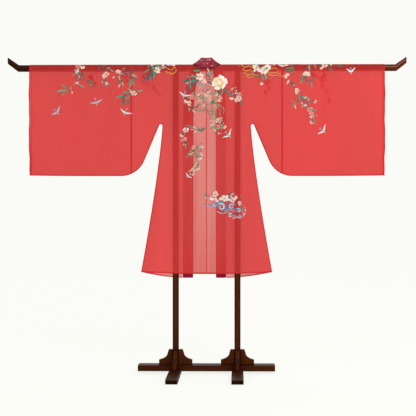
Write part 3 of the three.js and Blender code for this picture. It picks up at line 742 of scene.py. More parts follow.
def sleeve_plan(_side, _facing):
    """The same for a sleeve, whose two layers and two sides are alike."""
    s = np.linspace(0, 1, SLEEVE_COLUMNS + 1)
    start = SLEEVE_SEAM + SEAM_GAP
    x = across(start, SPAN, s)
    t = np.linspace(0, 1, DROP_ROWS + 1)[:, None]
    low = under_z(x)[None] * (1 - t) + ARMPIT_ROW * t
    rows = [np.full(x.shape, v) for v in np.linspace(ARMPIT_ROW, NECK_DIP, YOKE_ROWS + 1)]
    over = [NECK_DIP + OVER * (1 - math.cos(a)) for a in np.linspace(0, math.pi / 2, OVER_ROWS + 1)]
    rows = np.array(rows + [np.full(x.shape, v) for v in over[1:]])
    return [(across(start, cuff_x(v), s[None]), v) for v in (low, rows)]


def cloth_panel(name, node, side, plan, width, length, material, hangs_from):
    """One panel of cloth, both layers in one, from its plan; width and length are those of its cut, and are
    not used.
    """
    sheet = Patchwork()
    for facing in (BACK, FRONT):
        for x, v in plan(side, facing):
            sheet.patch(x, v, facing, sign=SIDES[side])
    piece = dress(sheet.build(name, material), "sheer_red", node)
    area = min(sheet.flat_area, width * MM * length * MM)
    width * MM
    length * MM
    return piece


def sewn_edge():
    """Points up the side seam, round the armpit and along the sleeve's lower edge to the cuff."""
    side_z = np.linspace(SIDE["corner_z"], ARMPIT_ROW, 60)
    turn = np.linspace(math.pi, 0, 11)[1:-1]
    sleeve = np.concatenate([
        np.linspace(ARMPIT["x"] + ARMPIT["radius"], UNDER_ARC["meet_x"], 20)[:-1],
        np.linspace(UNDER_ARC["meet_x"], UNDER_ARC["x"], 30)[:-1],
        np.linspace(UNDER_ARC["x"], SPAN, 44),
    ])
    x = np.concatenate([side_x(side_z), ARMPIT["x"] + ARMPIT["radius"] * np.cos(turn), sleeve])
    v = np.concatenate([side_z, ARMPIT_ROW + ARMPIT["radius"] * np.sin(turn), under_z(sleeve)])
    return x, v


def add_hems_and_seams(side, gauze, seam_silk, hem, seam):
    """Turned hems just inside the robe, and the stitched seams and rolled edges on its outside."""
    hems, seams = Patchwork(), Patchwork()
    sign, inside, outside = SIDES[side], -0.45, 0.3
    u = np.linspace(0, 1, BODY_COLUMNS + 1)
    up = np.linspace(0, 1, 97)[:, None]
    cuff_v = SLEEVE_BOTTOM + 5 + (SHOULDER_V - SLEEVE_BOTTOM - 5) * up
    edge_x, edge_v = sewn_edge()
    way_x, way_v = np.gradient(edge_x), np.gradient(edge_v)
    length = np.hypot(way_x, way_v)
    for facing in (BACK, FRONT):
        edge = hem_z(facing, u)
        inner = inner_edge(side, facing, float(edge[0]))
        x = across(inner, SIDE["hem"] - 0.8, u)
        hems.patch(np.stack([x, x, x * 0.998]), np.stack([edge + 0.2, edge + hem / 2, edge + hem]), facing,
                   inside, sign)
        hems.patch(cuff_x(cuff_v) - hem + np.array([[0, hem / 2, hem - 0.2]]), cuff_v + np.zeros((1, 3)),
                   facing, inside, sign)
        seams.patch(np.stack([x, x]), np.stack([edge + 0.1, edge + seam * 0.6]), facing, outside, sign)
        seams.patch(cuff_x(cuff_v) + np.array([[-seam, -seam / 2, 0.0]]), cuff_v + np.zeros((1, 3)), facing,
                    outside, sign)
        low = float(under_z(np.array(SLEEVE_SEAM)))
        seams.patch(SLEEVE_SEAM + np.array([[-seam * 0.55, 0.0, seam * 0.45]]) + 0 * up,
                    low + (SHOULDER_V - low) * up + np.zeros((1, 3)), facing, outside, sign)
        if facing == BACK:
            low = float(hem_z(BACK, 0.0))
            seams.patch(np.array([[0.05, seam * 0.46]]) + 0 * up,
                        low + (NECK_DIP - low) * up + np.zeros((1, 2)), facing, outside, sign)
        share = np.array([0.3, seam / 2, seam])[:, None] * 0.85
        seams.patch(edge_x - way_v / length * share, edge_v + way_x / length * share, facing, outside, sign)
    dress(hems.build(f"hems_{side}", gauze), "sheer_red")
    dress(seams.build(f"seams_{side}", seam_silk), "sheer_red")


def refined_copy(node, name, material, levels, crease_angle):
    """The node's own shape with rounded surfaces between its sharp edges."""
    bm = bmesh.new()
    bm.from_mesh(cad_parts[node].data)
    bmesh.ops.remove_doubles(bm, verts=bm.verts, dist=1e-6)
    bmesh.ops.join_triangles(bm, faces=bm.faces, angle_face_threshold=0.6, angle_shape_threshold=3.1)
    crease = bm.edges.layers.float.new("crease_edge")
    for edge in bm.edges:
        if len(edge.link_faces) == 2 and edge.calc_face_angle() > crease_angle:
            edge[crease] = 0.75
    mesh = bpy.data.meshes.new(name)
    bm.to_mesh(mesh)
    bm.free()
    mesh.materials.append(material)
    made = bpy.data.objects.new(name, mesh)
    bpy.context.scene.collection.objects.link(made)
    subdivision = made.modifiers.new("rounding", "SUBSURF")
    subdivision.levels = subdivision.render_levels = levels
    evaluated = made.evaluated_get(bpy.context.evaluated_depsgraph_get())
    made.data = bpy.data.meshes.new_from_object(evaluated)
    made.modifiers.clear()
    made.data.polygons.foreach_set("use_smooth", [True] * len(made.data.polygons))
    return made


# ------------------------------------------------------------------ wooden pieces
SHARP, SMOOTH_UNDER = math.radians(28), math.radians(24)  # edges to ease, and those to shade smooth
JOINT_REACH = 0.5


def close_joint(bm, axis, face, reach=JOINT_REACH):
    """Moves the corners that lie within `reach` of a post's face into the post, so that no light shows
    through the joint. Axis says which way the face looks, and face how far it is from the post's middle."""
    middle = POST_X if axis == 0 else 0.0
    for v in bm.verts:
        away = abs(v.co[axis]) / MM - middle
        if abs(abs(away) - face) < reach:
            v.co[axis] -= math.copysign(reach * MM, v.co[axis] * (away if middle else 1.0))


def eased_wood(node, name, material, edge, joint=None):
    """The node's own shape with its sharp edges eased. Joint is the axis and half width of the post that it
    meets."""
    bm = bmesh.new()
    bm.from_mesh(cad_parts[node].data)
    edge_shade_and_highlight = bm.faces.layers.float.new("edge_shade_and_highlight")
    bmesh.ops.remove_doubles(bm, verts=bm.verts, dist=1e-6)
    if joint:
        close_joint(bm, *joint)
    bmesh.ops.dissolve_limit(bm, angle_limit=math.radians(1), verts=bm.verts, edges=bm.edges)
    sharp = [e for e in bm.edges if len(e.link_faces) == 2 and e.calc_face_angle() > SHARP]
    made = bmesh.ops.bevel(bm, geom=sharp, offset=edge, segments=2, profile=0.6, affect="EDGES",
                           clamp_overlap=True)
    for face in made["faces"]:
        face[edge_shade_and_highlight] = 1.0
    mesh = bpy.data.meshes.new(name)
    bm.to_mesh(mesh)
    bm.free()
    mesh.polygons.foreach_set("use_smooth", [True] * len(mesh.polygons))
    mesh.set_sharp_from_angle(angle=SMOOTH_UNDER)
    mesh.materials.append(material)
    made = bpy.data.objects.new(name, mesh)
    bpy.context.scene.collection.objects.link(made)
    return dress(made, "dark_wood", node)


# ------------------------------------------------------------------ embroidery
TINTS = {
    "teal": linear(34, 122, 96),
    "jade": linear(84, 154, 120),
    "deep": linear(22, 72, 70),
    "navy": linear(40, 56, 84),
    "moss": linear(112, 118, 96),
    "sage": linear(132, 148, 116),
    "twig": linear(96, 68, 58),
    "rose": linear(208, 92, 90),
    "dusk": linear(218, 140, 130),
    "pink": linear(230, 152, 140),
    "blush": linear(242, 196, 182),
    "cream": linear(242, 224, 198),
    "white": linear(244, 238, 230),
    "honey": linear(234, 188, 116),
    "gold": linear(246, 170, 56),
    "amber": linear(216, 112, 36),
    "mist": linear(166, 194, 206),
    "sky": linear(84, 138, 186),
    "lilac": linear(200, 184, 214),
    "slate": linear(78, 98, 116),
}
LEAF_TIPS = {"teal": "jade", "deep": "teal", "navy": "slate", "sage": "cream", "jade": "sage", "moss": "sage",
             "slate": "mist"}
PETALS = (("rose", "blush"), ("pink", "blush"), ("pink", "cream"), ("rose", "pink"), ("dusk", "white"))


def turned(at, angle, along, aside=0.0):
    """The point that lies `along` and `aside` of `at`, seen along an angle."""
    return (at[0] + along * math.cos(angle) - aside * math.sin(angle),
            at[1] + along * math.sin(angle) + aside * math.cos(angle))


def smooth_line(points, per_span):
    """A Catmull-Rom curve through the points."""
    p = np.array(points, float)
    p = np.vstack([2 * p[0] - p[1], p, 2 * p[-1] - p[-2]])
    line = []
    for a, b, c, d in zip(p[:-3], p[1:-2], p[2:-1], p[3:]):
        for t in np.linspace(0, 1, per_span, endpoint=False):
            line.append(0.5 * (2 * b + (c - a) * t + (2 * a - 5 * b + 4 * c - d) * t * t
                               + (3 * b - a - 3 * c + d) * t**3))
    line.append(p[-2])
    return np.array(line)


class Embroidery:
    """Satin-stitched motifs drawn on the robe's flat plan, in mm, then laid on the cloth."""

    LIFT = 0.35

    def __init__(self):
        self.plan, self.lifts, self.colours, self.runs, self.faces = [], [], [], [], []

    def blade(self, at, angle, length, width, base, tip, belly=1.0, bend=0.0, puff=0.6, level=0.0, cut=0.0,
              vein=None):
        """One filled shape from its root at `at`: a leaf, petal, wing or feather. Belly under 1 is fuller
        near the root, over 1 near the tip; cut leaves the tip blunt; vein tints the middle line."""
        steps, half = 6, 2  # rows, and columns on each side of the middle
        way = np.array([math.cos(angle), math.sin(angle)])
        aside = np.array([-way[1], way[0]])
        base, tip = np.array(TINTS[base]), np.array(TINTS[tip])
        first = len(self.plan)
        for i in range(steps + 1):
            u = i / steps
            spread = width / 2 * max(math.sin(math.pi * (u * (1 - cut)) ** belly), 0.02) ** 0.75
            middle = np.array(at) + way * length * u + aside * bend * length * u * u
            for k in range(-half, half + 1):
                s = k / half
                self.plan.append(middle + aside * spread * s)
                rounded = (1 - s * s) * min(1.0, 4 * u * (1 - u) + 0.15)
                self.lifts.append(self.LIFT + level + puff * rounded)
                colour = base * (1 - u) + tip * u
                if k == 0 and vein:
                    colour = colour * 0.45 + np.array(TINTS[vein]) * 0.55
                self.colours.append(colour * (1 + 0.10 * abs(s)))
                self.runs.append(spread * s + length * u * 0.25)
        row = 2 * half + 1
        for i in range(steps):
            for k in range(row - 1):
                a = first + i * row + k
                self.faces.append((a, a + 1, a + 1 + row, a + row))
            a = first + i * row
            self.faces.append((a, a + row, a + 2 * row - 1, a + row - 1))

    def stem(self, points, width=1.8, tint="deep", puff=0.45, taper=0.55, level=0.0, dense=5):
        """A raised line of stitches along a curve; taper is how much thinner its end is."""
        line = smooth_line(points, dense)
        base = np.array(TINTS[tint])
        first = len(self.plan)
        way = np.gradient(line, axis=0)
        way /= np.maximum(np.linalg.norm(way, axis=1, keepdims=True), 1e-9)
        for i, (p, w) in enumerate(zip(line, way)):
            thin = 1 - taper * i / len(line)
            for s in (-1, 0, 1):
                self.plan.append(p + np.array([-w[1], w[0]]) * s * width / 2 * thin)
                self.lifts.append(self.LIFT + level + puff * (1 - s * s))
                self.colours.append(base)
                self.runs.append(i * 1.4 + s * 0.5)
        for i in range(len(line) - 1):
            a = first + i * 3
            self.faces += [(a, a + 1, a + 4, a + 3), (a + 1, a + 2, a + 5, a + 4), (a, a + 3, a + 5, a + 2)]
        return line

    def leaf(self, at, angle, length, tint="teal", bend=0.14, wide=0.27):
        tip = LEAF_TIPS[tint]
        self.blade(at, angle, length, length * wide, tint, tip, belly=0.85, bend=bend, vein=tip)

    def leaves(self, *rows):
        for row in rows:
            self.leaf(*row)

    def ray(self, at, angle, out, *shape, **more):
        """A blade that points away from `at` and starts `out` from it."""
        self.blade(turned(at, angle, out), angle, *shape, **more)

    def blossom(self, at, radius, turn=0.0, petal="pink", edge="blush", heart="rose"):
        """An open five-petalled flower, a little uneven, with a few stamens."""
        for k in range(5):
            angle = turn + 2 * math.pi * k / 5 + 0.16 * math.sin(3 * k + turn)
            long = radius * (0.86 + 0.16 * math.sin(2.3 * k + 5 * turn))
            wide = radius * (0.84 + 0.1 * math.sin(k + turn))
            self.ray(at, angle, 0.10 * radius, long, wide, petal, edge, belly=1.35, cut=0.10,
                     level=0.14 * (k % 2), vein=petal)
        self.ray(at, turn, -0.24 * radius, radius * 0.48, radius * 0.4, heart, heart, level=0.5, puff=0.3)
        for k in range(4):
            angle = turn + 0.6 + 2 * math.pi * k / 4
            self.blade(at, angle, radius * 0.36, radius * 0.08, "honey", "gold", level=0.7, puff=0.2)

    def half_open(self, at, angle, size, petal="pink", edge="blush"):
        """A flower seen from the side: a fan of petals out of a green cup."""
        for spread, share, level in ((-0.85, 0.82, 0.0), (0.85, 0.82, 0.0), (-0.38, 1.0, 0.15),
                                     (0.4, 1.0, 0.15), (0.0, 0.9, 0.3)):
            self.ray(at, angle + spread, size * 0.12, size * share, size * 0.52, petal, edge, belly=1.3,
                     level=level, vein=petal if level else None)
        cup = turned(at, angle, -size * 0.1)
        for spread in (-0.6, 0.0, 0.6):
            self.blade(cup, angle + spread, size * 0.38, size * 0.16, "deep", "teal", level=0.45)

    def bud(self, at, angle, size, petal="pink", edge="blush"):
        for spread in (-0.25, 0.25, 0.0):
            self.blade(at, angle + spread, size, size * 0.48, petal, edge, belly=1.1,
                       level=0.2 * (spread == 0))
        for spread in (-0.5, 0.5):
            self.blade(at, angle + spread, size * 0.45, size * 0.2, "teal", "deep", level=0.4)

    def peony(self, at, radius, turn=0.0):
        """Wide ruffled petals round a golden cup with a pale, rolled middle."""
        tones = (("blush", "white"), ("cream", "white"), ("honey", "cream"), ("honey", "white"))
        for ring, count in ((0, 6), (1, 5)):
            for k in range(count):
                angle = turn + 0.5 * ring + 2 * math.pi * k / count + 0.18 * math.sin(4 * k)
                long = radius * (0.74 - 0.18 * ring + 0.10 * math.sin(2 * k + 1))
                wide = radius * (0.95 - 0.2 * ring + 0.1 * math.sin(3 * k))
                petal, edge = tones[(k + ring) % 4]
                self.ray(at, angle, (0.30 - 0.06 * ring) * radius, long, wide, petal, edge, belly=1.3,
                         cut=0.16, bend=0.2 * math.sin(k), level=0.3 * ring + 0.1 * (k % 3), vein=petal)
        for k in range(6):
            self.ray(at, turn - 2.2 + 0.62 * k, radius * 0.16, radius * 0.40, radius * 0.42, "honey", "honey",
                     belly=1.2, cut=0.25, bend=0.2, level=0.75 + 0.1 * (k % 2), vein="gold")
        for k in range(6):
            petal, edge = ("dusk", "cream", "sage", "cream")[k % 4], ("cream", "white")[k % 2]
            self.ray(at, turn + 0.9 + 1.05 * k, -0.10 * radius, radius * 0.46, radius * 0.44, petal, edge,
                     belly=1.2, cut=0.2, bend=0.3, level=1.0 + 0.1 * (k % 2), vein="cream")
        for share, wide, tint in ((0.44, 4.2, "gold"), (0.24, 2.4, "honey")):
            arc = [turned(at, turn - 2.6 + 0.52 * k, radius * share * (1 + 0.08 * math.sin(2 * k)))
                   for k in range(9)]
            self.stem(arc, wide, tint, level=1.3, dense=3)

    def magnolia(self, at, radius, turn=0.0):
        """A looser flower: long cream petals with rosy roots."""
        for k in range(6):
            angle = turn + 2 * math.pi * k / 6 + 0.2 * math.sin(5 * k)
            long = radius * (0.95 + 0.18 * math.sin(3 * k + turn))
            root, tip = "blush" if k % 3 else "pink", "cream" if k % 2 else "white"
            self.ray(at, angle, 0.08 * radius, long, radius * 0.66, root, tip, belly=1.2, bend=0.16,
                     level=0.14 * (k % 3), vein="blush")
        for k in range(3):
            self.blade(at, turn + 2 * math.pi * k / 3, radius * 0.3, radius * 0.2, "honey", "rose", level=0.6)

    def swallow(self, at, angle, size, back="teal", wing="white", sweep=2.25):
        """A bird on the wing, heading along the angle: long wings swept back, a slim body, a forked tail."""
        tail = turned(at, angle, -size * 0.14)
        for side in (-1, 1):
            long = size * (0.60 if side > 0 else 0.52)
            for lift, share, tint, tip in ((0.0, 1.0, back, wing), (0.3, 0.66, wing, "lilac")):
                shoulder = turned(at, angle, size * (0.10 - 0.1 * lift), side * size * 0.03)
                way = angle + side * (sweep - 0.25 * lift)
                self.blade(shoulder, way, long * share, size * 0.16, tint, tip, belly=0.62, bend=-side * 0.22,
                           level=0.1 + lift, vein=wing)
            self.blade(tail, angle + math.pi - side * 0.22, size * 0.26, size * 0.06, "slate", "lilac",
                       level=0.05)
        self.ray(at, angle, -size * 0.2, size * 0.44, size * 0.15, back, "mist", belly=1.15, level=0.6,
                 puff=0.9, vein=wing)
        self.ray(at, angle, size * 0.22, size * 0.10, size * 0.04, "gold", "gold", level=0.5)

    def curl(self, at, angle, size, turns, tint, width, hand=1, level=0.0):
        """A tendril that winds into a spiral."""
        t = np.linspace(0, 1, 14)
        radius = size * (1 - 0.82 * t)
        swing = angle + hand * turns * 2 * math.pi * t
        points = np.column_stack([at[0] + radius * np.cos(swing), at[1] + radius * np.sin(swing)])
        self.stem(points, width, tint, level=level, dense=3)

    def ribbon(self, points, width, tint="gold", edge="amber"):
        """A long loose tendril with a darker edge."""
        self.stem(points, width, tint, taper=0.4, level=0.3, puff=0.6)
        shifted = np.array(points, float) + [0.8, -width * 0.55]
        self.stem(shifted, width * 0.5, edge, taper=0.5)

    def cloud(self, at, size, angle, hand=1, tints=("sky", "mist", "white")):
        """One cloud curl: strokes of thread wound side by side into a spiral."""
        for ring, (tint, wide) in enumerate(zip(tints, (0.40, 0.24, 0.13))):
            self.curl(at, angle + 0.2 * ring * hand, size * (1 - 0.20 * ring), 1.15, tint, size * wide, hand,
                      level=0.15 * ring)

    def spray(self, stem, leaves, seed, leaf_size=34.0, flowers=(), tints=("teal", "deep", "sage", "jade"),
              twig="twig", buds=0, tones=PETALS):
        """A branch with leaves on alternate sides. Flowers are (kind, place along it, offset, size)."""
        rng = np.random.default_rng(seed)
        line = self.stem(stem, tint=twig)
        for i in range(leaves):
            k = int((i + 0.5 + rng.uniform(-0.3, 0.3)) / leaves * (len(line) - 2))
            way = line[k + 1] - line[k]
            side = 1 if i % 2 else -1
            angle = math.atan2(way[1], way[0]) + side * rng.uniform(0.35, 1.15)
            length = leaf_size * rng.uniform(0.6, 1.25)
            self.leaf(line[k], angle, length, tints[int(rng.integers(len(tints)))],
                      bend=-side * rng.uniform(-0.05, 0.40), wide=rng.uniform(0.20, 0.32))
        for kind, place, offset, size in flowers:
            k = min(int(place * (len(line) - 1)), len(line) - 2)
            way = line[k + 1] - line[k]
            way = way / np.linalg.norm(way)
            at = line[k] + np.array([-way[1], way[0]]) * offset
            petal, edge = tones[int(rng.integers(len(tones)))]
            if kind == "open":
                self.blossom(at, size, rng.uniform(0, 6), petal, edge)
            elif kind == "half":
                self.half_open(at, rng.uniform(-2.6, -0.6), size * 1.35, petal, edge)
            else:
                self.bud(at, rng.uniform(-2.8, -0.4), size, petal, edge)
        for i in range(buds):
            k = int(rng.uniform(0.1, 0.95) * (len(line) - 2))
            angle = rng.uniform(-2.8, -0.3)
            at = turned(line[k], angle, rng.uniform(8, 17))
            self.stem([line[k], turned(line[k], angle + 0.2, 6), at], 1.1, twig, dense=2)
            self.bud(at, angle, rng.uniform(8, 12), *tones[int(rng.integers(len(tones)))])

    def build(self, name, material):
        plan = np.array(self.plan)
        points = on_cloth(plan[:, 0], plan[:, 1], BACK, np.array(self.lifts))
        piece = mesh_object(name, [tuple(p) for p in points], self.faces, material)
        colour = piece.data.color_attributes.new("thread", "FLOAT_COLOR", "POINT")
        rgba = np.ones((len(points), 4))
        rgba[:, :3] = np.clip(self.colours, 0, 1)
        colour.data.foreach_set("color", rgba.ravel())
        stitch = piece.data.attributes.new("stitch", "FLOAT", "POINT")
        stitch.data.foreach_set("value", np.array(self.runs, float))
        return dress(piece, "collar_brocade")


def centre_back_sprays():
    """The large flowers under the neck, and the branches that trail from them down the back."""
    e = Embroidery()
    greens = ("teal", "deep", "jade", "navy", "sage")
    pale, muted = (("dusk", "pink"), ("rose", "dusk"), ("pink", "blush")), ("moss", "sage", "moss", "teal")
    e.spray([(-52, 1676), (-92, 1672), (-132, 1634)], 6, 3, 38, [("bud", 0.7, 8, 14)],
            ("teal", "deep", "jade"))
    e.spray([(-44, 1650), (-78, 1636), (-104, 1604)], 5, 5, 34, (), ("navy", "teal", "deep"))
    e.spray([(34, 1654), (12, 1684), (20, 1722)], 6, 8, 34, (), ("sage", "moss", "deep"))
    e.leaves(((-34, 1716), 3.0, 40, "teal", 0.1), ((-40, 1664), 3.4, 44, "navy", 0.2),
             ((2, 1658), -0.3, 40, "navy", -0.2), ((-2, 1648), -1.7, 40, "jade", 0.2),
             ((-20, 1650), -2.3, 42, "slate", 0.2), ((-70, 1660), 2.9, 34, "teal", 0.5),
             ((-88, 1650), -2.0, 36, "teal", 0.4), ((14, 1692), 1.2, 30, "moss", 0.3),
             ((30, 1690), 1.7, 34, "moss", -0.3))
    e.magnolia((-38, 1684), 24, 0.3)
    e.magnolia((-12, 1656), 14, 1.2)
    e.peony((74, 1650), 40, 0.25)
    e.leaves(((100, 1622), -1.1, 40, "deep", 0.2), ((92, 1612), -1.9, 34, "teal"),
             ((60, 1608), -2.2, 38, "moss"), ((70, 1606), -1.6, 38, "navy", -0.2))
    e.spray([(104, 1616), (126, 1590), (160, 1578), (196, 1566)], 8, 12, 34,
            [("open", 0.80, 10, 17), ("open", 0.95, -8, 16), ("half", 0.55, -14, 12), ("bud", 0.55, 10, 12)],
            ("teal", "deep", "navy"))
    e.blossom((172, 1553), 14, 0.4, "pink", "cream")
    e.leaf((196, 1558), -1.7, 38, "deep")
    e.spray([(150, 1640), (158, 1612), (176, 1590)], 2, 13, 20, [("bud", 0.95, 0, 11)], greens, buds=2)
    for seed, points in ((14, [(56, 1606), (70, 1572), (58, 1538), (36, 1504)]),
                         (15, [(-20, 1616), (-8, 1582), (-18, 1552), (8, 1530)]),
                         (16, [(20, 1608), (2, 1570), (22, 1544)]),
                         (18, [(-44, 1600), (-30, 1572), (-48, 1548)]),
                         (20, [(-6, 1600), (28, 1590), (52, 1560)]),
                         (21, [(40, 1580), (12, 1556), (-10, 1536), (-30, 1516)])):
        e.spray(points, 7, seed, 26, [("half", 0.15, -9, 11), ("open", 0.45, 8, 13), ("bud", 0.65, -7, 10),
                                      ("open", 0.92, 3, 12)], muted, "moss", 3, pale)
    e.spray([(-62, 1606), (-84, 1572), (-106, 1530), (-78, 1500), (-44, 1508)], 10, 17, 30,
            [("open", 0.28, 4, 17), ("half", 0.40, -12, 13), ("open", 0.54, 8, 14), ("half", 0.86, -7, 12)],
            ("teal", "deep", "jade"), buds=2)
    e.spray([(-66, 1498), (-32, 1490), (4, 1498), (26, 1480)], 6, 23, 32, [("bud", 0.4, 8, 11)],
            ("teal", "moss", "deep"))
    fan = (64, 1540)
    for k in range(12):
        angle = 0.1 + k * 0.24
        long = 22 + 10 * math.sin(k * 1.7)
        e.stem([turned(fan, angle, 4), turned(fan, angle + 0.05, long)], 2.0, ("cream", "honey")[k % 2],
               dense=2, level=0.4)
    for k in range(8):
        x = 56 + k * 7
        e.stem([(66, 1530), (x, 1504), (x + 7 * math.sin(k), 1462 + 9 * math.cos(2 * k))], 1.7,
               ("honey", "deep", "cream", "moss")[k % 4], dense=4, level=0.3)
    e.leaves(((34, 1520), -1.6, 54, "moss", 0.1, 0.2), ((22, 1548), -0.4, 34, "deep", -0.3, 0.34),
             ((44, 1550), -2.6, 34, "navy", 0.3, 0.3))
    e.spray([(36, 1484), (62, 1452), (88, 1424), (72, 1388), (54, 1360)], 13, 29, 26,
            [("bud", 0.08, 10, 11), ("half", 0.30, 14, 13), ("open", 0.42, -8, 11), ("half", 0.60, 14, 12),
             ("open", 0.74, -9, 12), ("bud", 0.94, 5, 11)], ("teal", "moss", "deep", "jade"), buds=5)
    e.spray([(18, 1470), (30, 1436), (22, 1404), (46, 1384)], 9, 30, 22,
            [("half", 0.3, -9, 11), ("open", 0.6, 8, 11), ("bud", 0.85, -6, 10)], muted, "moss", 5, pale)
    e.spray([(44, 1466), (54, 1430), (40, 1396)], 7, 32, 22, [("half", 0.3, 9, 11), ("open", 0.7, -8, 12)],
            muted, "moss", 4, pale)
    e.spray([(-2, 1392), (-46, 1384), (-104, 1396)], 9, 31, 28, [("bud", 0.5, 8, 10)],
            ("teal", "deep", "sage"))
    e.spray([(-108, 1408), (-128, 1366), (-126, 1320), (-106, 1282)], 9, 37, 26,
            [("open", 0.22, 4, 17), ("half", 0.45, -8, 12), ("open", 0.62, 6, 12), ("bud", 0.85, -5, 10)],
            ("teal", "deep", "moss"), buds=3)
    e.spray([(-26, 1306), (-66, 1266), (-48, 1214), (-66, 1162), (-88, 1132)], 20, 41, 26,
            [("half", 0.08, 9, 11), ("open", 0.22, -12, 12), ("bud", 0.34, 10, 10), ("half", 0.46, 12, 12),
             ("open", 0.56, -10, 13), ("half", 0.70, 9, 12), ("open", 0.84, -7, 11), ("half", 0.96, 4, 11)],
            ("teal", "moss", "deep", "sage"), buds=5)
    e.spray([(-78, 1286), (-96, 1252), (-82, 1216)], 6, 43, 22, [("bud", 0.6, 6, 10)], muted, buds=2)
    e.spray([(-40, 1290), (-30, 1250), (-44, 1200)], 7, 44, 22, [("half", 0.5, 8, 11)], muted, "moss", 3,
            pale)
    e.swallow((-126, 1580), -1.9, 66, "sky", "white")
    e.swallow((124, 1352), -0.8, 70, "teal", "white", 2.35)
    e.swallow((-104, 1120), -2.3, 44, "mist", "white")
    return e


def left_sprays():
    """Branches that hang from the shoulder over the left sleeve, and the birds beneath them."""
    e = Embroidery()
    greens = ("teal", "deep", "jade", "navy")
    e.spray([(-752, 1704), (-722, 1738), (-704, 1776), (-716, 1830), (-690, 1880)], 8, 43, 30,
            [("open", 0.26, 8, 16), ("half", 0.36, -8, 14), ("open", 0.72, 6, 17)], greens, buds=2)
    e.spray([(-716, 1738), (-738, 1702), (-728, 1660), (-724, 1606)], 9, 47, 30,
            [("half", 0.22, -12, 12), ("bud", 0.5, 9, 11), ("half", 0.68, -9, 10)], greens, buds=2)
    for angle, long, bend in ((2.6, 30, -0.3), (0.4, 30, 0.5), (-0.6, 26, 0.5), (-1.8, 32, 0.3)):
        e.leaf((-712, 1694), angle, long, "deep", bend, 0.2)
    e.spray([(-690, 1664), (-664, 1650), (-636, 1626)], 6, 51, 28, (), ("deep", "teal"), "deep")
    e.spray([(-770, 1602), (-798, 1616), (-824, 1588)], 5, 53, 38, [("bud", 0.02, 4, 13)],
            ("teal", "jade"), "deep")
    e.blossom((-572, 1697), 18, 0.2)
    e.blossom((-584, 1686), 11, 1.2, "blush", "white")
    e.half_open((-505, 1700), 1.2, 24)
    e.blossom((-502, 1714), 12, 0.8, "pink", "cream")
    e.bud((-532, 1690), -1.2, 15, "honey", "blush")
    e.spray([(-622, 1760), (-590, 1738), (-566, 1726), (-540, 1730)], 5, 57, 30, [("bud", 0.1, 6, 12)],
            greens)
    e.spray([(-572, 1684), (-582, 1660), (-566, 1630)], 6, 59, 26, [("half", 0.78, 4, 11)], greens, buds=2)
    e.spray([(-500, 1716), (-474, 1720), (-446, 1704), (-424, 1716)], 6, 61, 34, (), greens)
    e.spray([(-498, 1694), (-484, 1664), (-488, 1632)], 7, 67, 32, (), ("teal", "sage", "deep"))
    e.spray([(-418, 1712), (-414, 1676), (-426, 1640)], 7, 71, 34, [("half", 0.2, 6, 12)], greens)
    e.spray([(-388, 1596), (-428, 1592), (-468, 1578), (-466, 1546)], 9, 73, 42,
            [("open", 0.2, 4, 16), ("half", 0.3, -10, 11)], greens)
    e.leaves(((-440, 1560), -1.9, 38, "deep"), ((-400, 1600), 0.1, 40, "jade"))
    e.spray([(-340, 1800), (-316, 1758), (-322, 1706), (-330, 1654)], 11, 79, 44, (),
            ("deep", "teal", "navy"), "deep")
    for k in range(9):
        e.leaf((-312 + 7 * k, 1742 + 9 * math.sin(2.1 * k)), 0.6 + 1.9 * k, 30,
               ("moss", "sage", "deep")[k % 3])
    e.magnolia((-280, 1722), 20, 0.1)
    e.half_open((-296, 1746), 1.9, 26, "dusk", "cream")
    e.half_open((-262, 1752), 0.9, 24, "dusk", "white")
    e.leaves(((-306, 1716), -1.9, 54, "deep", 0.1, 0.2), ((-298, 1712), -1.5, 46, "teal", -0.1, 0.2))
    e.spray([(-304, 1744), (-268, 1768), (-240, 1748), (-226, 1790)], 7, 83, 36, [("open", 0.6, -8, 12)],
            ("navy", "deep", "teal"))
    for k in range(5):
        e.blade((-212 + 3 * k, 1748), 2.6 - 0.6 * k, 24, 9, "lilac", "white", level=0.2 + 0.1 * k)
    e.ribbon([(-236, 1716), (-214, 1708), (-186, 1704), (-172, 1722), (-184, 1744)], 4.4)
    e.ribbon([(-232, 1738), (-210, 1726), (-190, 1730), (-176, 1756)], 4.0)
    e.ribbon([(-226, 1706), (-210, 1696), (-190, 1700)], 3.4, "amber", "gold")
    e.swallow((-852, 1484), -0.8, 68, "deep", "mist", 2.3)
    e.swallow((-628, 1540), -1.3, 66, "slate", "lilac", 2.1)
    e.swallow((-462, 1482), -2.0, 66, "jade", "white", 2.2)
    return e


